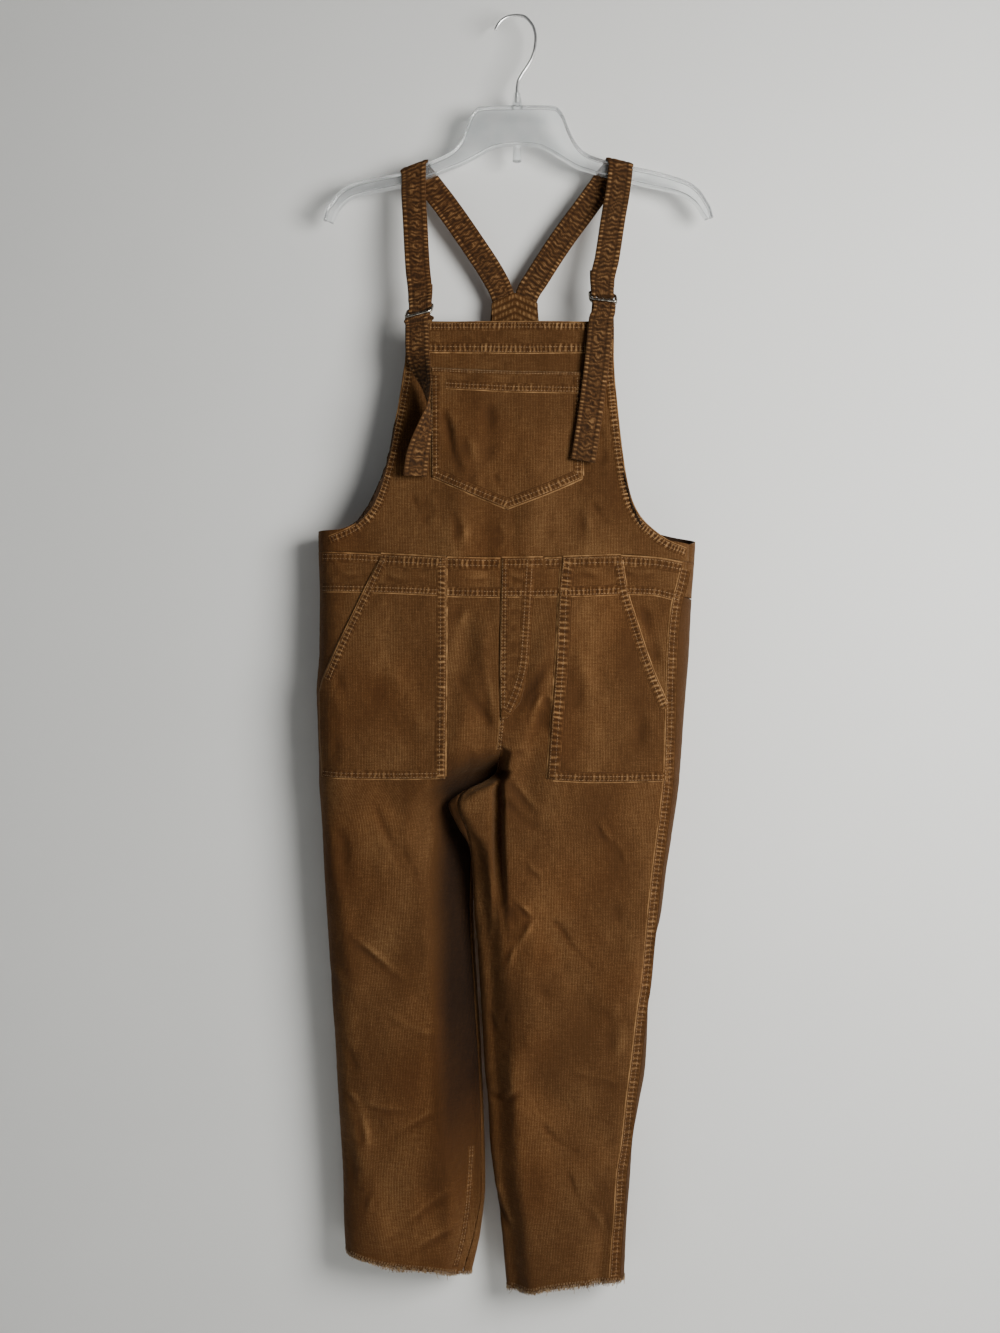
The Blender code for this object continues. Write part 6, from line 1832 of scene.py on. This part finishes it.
def threads(loop, normals, count, longest, seed, strays=0.02):
    """Thin curled threads that hang from a closed line round the hem."""
    chance = np.random.default_rng(seed)
    s = along(loop)
    at = np.sort(chance.uniform(0, s[-1], count))
    thick = 0.6 + 0.4 * soft_noise(at, 0 * at, 38, seed)
    root = columns_at(at, s, loop)
    out = unit(columns_at(at, s, normals) * (1, 1, 0))
    root = root + out * chance.uniform(-1.0, 0.6, (count, 1))
    length = longest * np.clip(thick, 0.25, 1) * chance.uniform(0.45, 1.0, count)
    stray = chance.random(count) < strays
    length = np.where(stray, longest * chance.uniform(1.1, 1.7, count), length)
    t = np.linspace(0, 1, KNOTS)
    level = np.stack([-out[:, 1], out[:, 0], 0 * out[:, 0]], -1)
    drift = chance.normal(0, 0.30, (count, 2))
    curl = chance.normal(0, 0.5, (count, 2))
    path = root[:, None, :] + np.array([0, 0, 1.8])
    path = path + np.array([0, 0, -1.0]) * (length + 1.8)[:, None, None] * t[None, :, None]
    sway = (drift[:, :1] * t + curl[:, :1] * np.sin(t * 4.5) * 0.4 * t) * length[:, None]
    lean = (drift[:, 1:] * 0.5 * t + curl[:, 1:] * np.cos(t * 4) * 0.18 * t) * length[:, None]
    path = path + level[:, None, :] * sway[..., None] + out[:, None, :] * lean[..., None]
    angle = np.arange(ROUND) * 2 * math.pi / ROUND
    radius = chance.uniform(0.28, 0.62, count)[:, None] * (1.0 - 0.45 * t)
    ring = (np.cos(angle)[None, None, :, None] * level[:, None, None, :]
            + np.sin(angle)[None, None, :, None] * out[:, None, None, :])
    points = path[:, :, None, :] + ring * radius[:, :, None, None]
    index = np.arange(KNOTS * ROUND).reshape(KNOTS, ROUND)
    turned = np.roll(index, -1, 1)
    one = np.stack([index[:-1], turned[:-1], turned[1:], index[1:]], -1).reshape(-1, 4)
    faces = (one[None] + (np.arange(count) * KNOTS * ROUND)[:, None, None]).reshape(-1, 4)
    wear_and_shade = chance.uniform(0.05, 1.0, count)[:, None, None] * (0.45 + 0.55 * t)[None, :, None]
    return points, faces, points[..., [0, 2]], np.repeat(wear_and_shade, ROUND, axis=2)


frays = {}
for side, long_seed, short_seed in (("r", 401, 411), ("l", 402, 412)):
    rows = [leg_shells[f"{face}_leg_{side}"] for face in ("front", "back")]
    loop = np.concatenate([shell.points[-1] for shell in rows])
    normals = np.concatenate([shell.normals[-1] for shell in rows])
    loop, normals = np.vstack([loop, loop[:1]]), np.vstack([normals, normals[:1]])
    hems = Joined()
    hems.add(*threads(loop, normals, 700, 4.8, long_seed))
    hems.add(*threads(loop + (0, 0, 1.2), normals, 650, 3.0, short_seed, strays=0.0))
    made = hems.piece(f"hem_fray_{side}", fray, "frayed_cotton")
    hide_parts(f"frayed_hem_{side}")
    frays[side] = made

# %% [markdown]
# ## The hanger
# The hanger is one moulding: a thin web with a thicker rim along both edges, notches near the
# ends for loops, a raised middle that carries the hook, and a small peg below it.

# %% Sections of the hanger
WEB_THICKNESS = 3.0
RIM = 3.2
HOOK_WIRE = 1.8
# x and drop of the upper rim, then of the lower rim.
HANGER = [
    (-214, 224, -203, 228), (-211, 212, -199, 219), (-206, 206, -194, 211),
    (-198, 195, -187, 204), (-188, 187.5, -180, 200), (-174, 182, -170, 197),
    (-150, 176.5, -148, 192.5), (-128, 172.4, -127, 188), (-113, 166.6, -112, 183),
    (-98, 160.8, -97, 178), (-84, 155, -82, 172), (-72, 148.5, -68, 166.5),
    (-63, 139, -55, 161), (-57, 126, -44, 155), (-50, 108, -33, 149),
    (-42, 100.5, -24, 145), (-26, 99.2, -14, 143), (0, 98.6, 0, 142),
    (26, 98.4, 14, 142.5), (42, 99.4, 24, 144), (50, 107, 33, 148),
    (58, 126, 44, 154), (64, 138, 55, 161), (73, 148.5, 68, 168),
    (84, 154.5, 82, 172.5), (97, 158.6, 96, 176.5), (112, 162.1, 111, 180),
    (128, 165.8, 127, 184), (150, 170.5, 148, 189), (174, 177, 170, 193.5),
    (190, 183, 182, 197.5), (201, 191, 190, 202), (209, 202, 198, 209.5),
    (214, 211, 203, 217.5), (217, 221, 207.5, 224),
]


def hanger_points():
    """Closed cross-sections of the arms, close together and with rounded rims."""
    table = np.array(HANGER, float)
    s = along((table[:, :2] + table[:, 2:]) / 2)
    at = np.linspace(0, s[-1], 230)
    thick, thin = ARM_THICKNESS / 2, WEB_THICKNESS / 2
    sections = []
    for ux, ud, lx, ld in columns_at(at, s, table, smoothly):
        upper, lower = Vector((ux, 0, -ud)), Vector((lx, 0, -ld))
        down = (lower - upper).normalized()
        height = (lower - upper).length
        half = []
        for d, y in ((0.0, 0.45), (0.25, 0.8), (0.9, 1.0), (RIM - 0.5, 1.0), (RIM, 0.9)):
            half.append((d, y * thick))
        half.append((RIM + 0.8, thin))
        half += [(height - d, y) for d, y in half[::-1]]
        sections.append([upper + down * d + Vector((0, -y, 0)) for d, y in half]
                        + [upper + down * d + Vector((0, y, 0)) for d, y in half[::-1]])
    return sections


def solid_through(bm, sections):
    """Adds a solid that passes through closed sections of as many points each."""
    rings = [[bm.verts.new(point * MM) for point in section] for section in sections]
    for one, two in zip(rings, rings[1:]):
        for k in range(len(one)):
            m = (k + 1) % len(one)
            bm.faces.new((one[k], one[m], two[m], two[k]))
    bm.faces.new(rings[0])
    bm.faces.new(rings[-1][::-1])


def turned(profile, around=28):
    """Sections of a round upright piece, from (radius, drop) points."""
    angles = np.linspace(0, 2 * math.pi, around, endpoint=False)
    return [[Vector((radius * math.cos(a), radius * math.sin(a), -drop)) for a in angles]
            for radius, drop in profile]


print("hanger:", len(HANGER), "measured sections")

# %% Hanger
SOCKET = [(2.5, 84), (3.4, 84.4), (3.8, 86), (5.4, 95), (6.4, 99.5)]
PEG = [(4.2, 143), (4.3, 150), (4.9, 158), (5.0, 159.4), (4.2, 160)]
bm = bmesh.new()
for sections in (hanger_points(), turned(SOCKET), turned(PEG)):
    solid_through(bm, sections)
bmesh.ops.recalc_face_normals(bm, faces=bm.faces)
mesh = bpy.data.meshes.new("hanger_body")
bm.to_mesh(mesh)
bm.free()
mesh.shade_smooth()
mesh.set_sharp_from_angle(angle=math.radians(50))
hanger = on_body("hanger_body", mesh, plastic)
stands_for(hanger, "hanger")
print("hanger", len(mesh.polygons), "faces")

# %% [markdown]
# The hook is one steel wire that rises out of the socket, leans aside and curls over the rail.

# %% Hook
HOOK_ROUTE = [
    (0, 96.5), (0, 88), (0, 80), (1.0, 72), (5, 64), (11, 55), (16.5, 45), (19.6, 34), (20.6, 23),
    (18.5, 12), (13.5, 4.2), (7, -0.9), (0, -HOOK_WIRE), (-8, -0.9), (-15.5, 2.6), (-21, 8.4), (-24, 14.5),
]
s = along(np.array(HOOK_ROUTE, float))
places = columns_at(np.linspace(0, s[-1], 110), s, HOOK_ROUTE, smoothly)
route = [(x * MM, 0.0, -drop * MM) for x, drop in places]
hook = wire("hook_wire", route, HOOK_WIRE, steel, False)
stands_for(hook, "hanger_hook")
print("hook wire", round(s[-1]), "mm long")

# %% [markdown]
# ## The cut sizes of the cloth
# For each cloth piece the size of the flat piece that it was cut from is measured and printed.
# The sizes are measured on the shells: the longest way across, the longest way down, and the area.

# %% Cut sizes
def cut_of(piece):
    """(width, length, area) of a shell's flat cut, in metres, measured along the cloth."""
    mesh = piece.data
    grain = np.empty(len(mesh.loops) * 2, dtype=np.float32)
    mesh.uv_layers["grain"].data.foreach_get("uv", grain)
    width, length = (float(reach) for reach in np.ptp(grain.reshape(-1, 2), axis=0))
    return width, length, sum(polygon.area for polygon in mesh.polygons)


goes_with = {
    "bib": [bands["front"], bands["front_thread"]],
    "back_panel": [bands["back"], bands["back_thread"]],
    "front_leg_r": [frays["r"]],
    "front_leg_l": [frays["l"]],
}
LEAST_SHARE = 0.31        # of the square round a cut that its area may be declared as
for key, piece in cloth_pieces.items():
    width, length, area = cut_of(piece)
    area = min(area, width * length)
    max(area, LEAST_SHARE * width * length)
    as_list(goes_with.get(key, []))
    print(f"{piece.name}: cut {width * 1000:.0f} x {length * 1000:.0f} mm, {area * 1e4:.0f} square cm")
for key, piece in straps.items():
    width, length = STRAP_WIDTH * MM, strap_lengths[piece.name] * MM
    held_by = hanger.name if "shoulder" in key else f"front_ring_{key[-1]}"
    print(f"{piece.name}: cut {width * 1000:.0f} x {length * 1000:.0f} mm")

# %% [markdown]
# ## Wall, floor and light
# The hanger is shown in front of a pale plastered wall, lit by a broad soft window that stands
# to the right at chest height. A weak light fills the shade on the left, and a lamp behind is
# for looking at the back. The wall is only seen from in front, and it throws no shadow.

# %% Wall and floor
def plain_plane(name, corners, finish):
    mesh = bpy.data.meshes.new(name)
    mesh.from_pydata(corners, [], [(0, 1, 2, 3)])
    made = in_scene(name, mesh)
    mesh.materials.append(finish)
    made.visible_shadow = False     # lets the lamp behind reach the garment's back
    made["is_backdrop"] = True
    return made


def wall_paint(name, colour, see_through):
    made, tree, shader = new_material(name, 0.85)
    low = tuple(c * 0.965 for c in colour)
    mottle = colour_ramp(tree, object_noise(tree, 3.0, 5.0), [(0.3, low), (0.7, colour)])
    link(tree, mottle, shader.inputs["Base Color"])
    if see_through:
        side = node(tree, "ShaderNodeNewGeometry")
        clear = node(tree, "ShaderNodeBsdfTransparent")
        mix = node(tree, "ShaderNodeMixShader")
        link(tree, side.outputs["Backfacing"], mix.inputs[0])
        link(tree, shader.outputs[0], mix.inputs[1])
        link(tree, clear.outputs[0], mix.inputs[2])
        link(tree, mix.outputs[0], tree.nodes["Material Output"].inputs["Surface"])
    return made


WALL_Y, FLOOR_Z = 0.030, -1.62        # metres, as are all the sizes of the room
wall_finish = wall_paint("wall_paint", (0.70, 0.705, 0.69), see_through=True)
floor_finish = wall_paint("floor_paint", (0.7, 0.7, 0.69), see_through=False)
plain_plane("wall", [(-4, WALL_Y, -4), (4, WALL_Y, -4), (4, WALL_Y, 3), (-4, WALL_Y, 3)], wall_finish)
plain_plane("floor", [(-4, -6, FLOOR_Z), (4, -6, FLOOR_Z), (4, 6, FLOOR_Z), (-4, 6, FLOOR_Z)], floor_finish)
print("the wall stands", WALL_Y, "m behind the hanger")

# %% Lights
def soft_light(name, place, aim, size, power, colour=(1, 1, 1)):
    data = bpy.data.lights.new(name, "AREA")
    data.shape = "DISK"
    data.size = size
    data.energy = power
    data.color = colour
    lamp = in_scene(name, data)
    lamp.location = place
    lamp.rotation_euler = (Vector(aim) - Vector(place)).to_track_quat("-Z", "Y").to_euler()
    print(name, "gives", power, "W")


soft_light("window", (1.0, -1.22, -0.45), (0, 0, -0.72), 0.95, 46, (1.0, 0.985, 0.955))
soft_light("fill", (-1.9, -2.3, -0.5), (0, 0, -0.8), 2.0, 2, (0.94, 0.97, 1.0))
soft_light("behind", (0.6, 2.2, 0.3), (0, 0, -0.7), 2.0, 50)
world = bpy.data.worlds.new("room")
world.use_nodes = True
background = world.node_tree.nodes["Background"].inputs
background["Color"].default_value = (0.93, 0.95, 0.97, 1)
background["Strength"].default_value = 0.10
bpy.context.scene.world = world

# %% [markdown]
# Last, the triangles are counted and the dressed model's box is measured. It should match the
# plain model's box, which is kept beside it.

# %% Count the triangles and measure the size
settled = bpy.context.evaluated_depsgraph_get()
count = 0
for piece in bpy.context.scene.objects:
    if piece.type in ("MESH", "CURVE") and not piece.hide_render:
        shown = piece.evaluated_get(settled)
        mesh = shown.to_mesh()
        mesh.calc_loop_triangles()
        count += len(mesh.loop_triangles)
        print(piece.name, len(mesh.loop_triangles), "triangles")
        shown.to_mesh_clear()
print("triangles in all:", count)
dressed_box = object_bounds()
sizes = {"plain": [[float(v) for v in corner] for corner in plain_box],
         "dressed": [[float(v) for v in corner] for corner in dressed_box]}
print("dressed model, m:", [[round(v, 3) for v in corner] for corner in sizes["dressed"]])
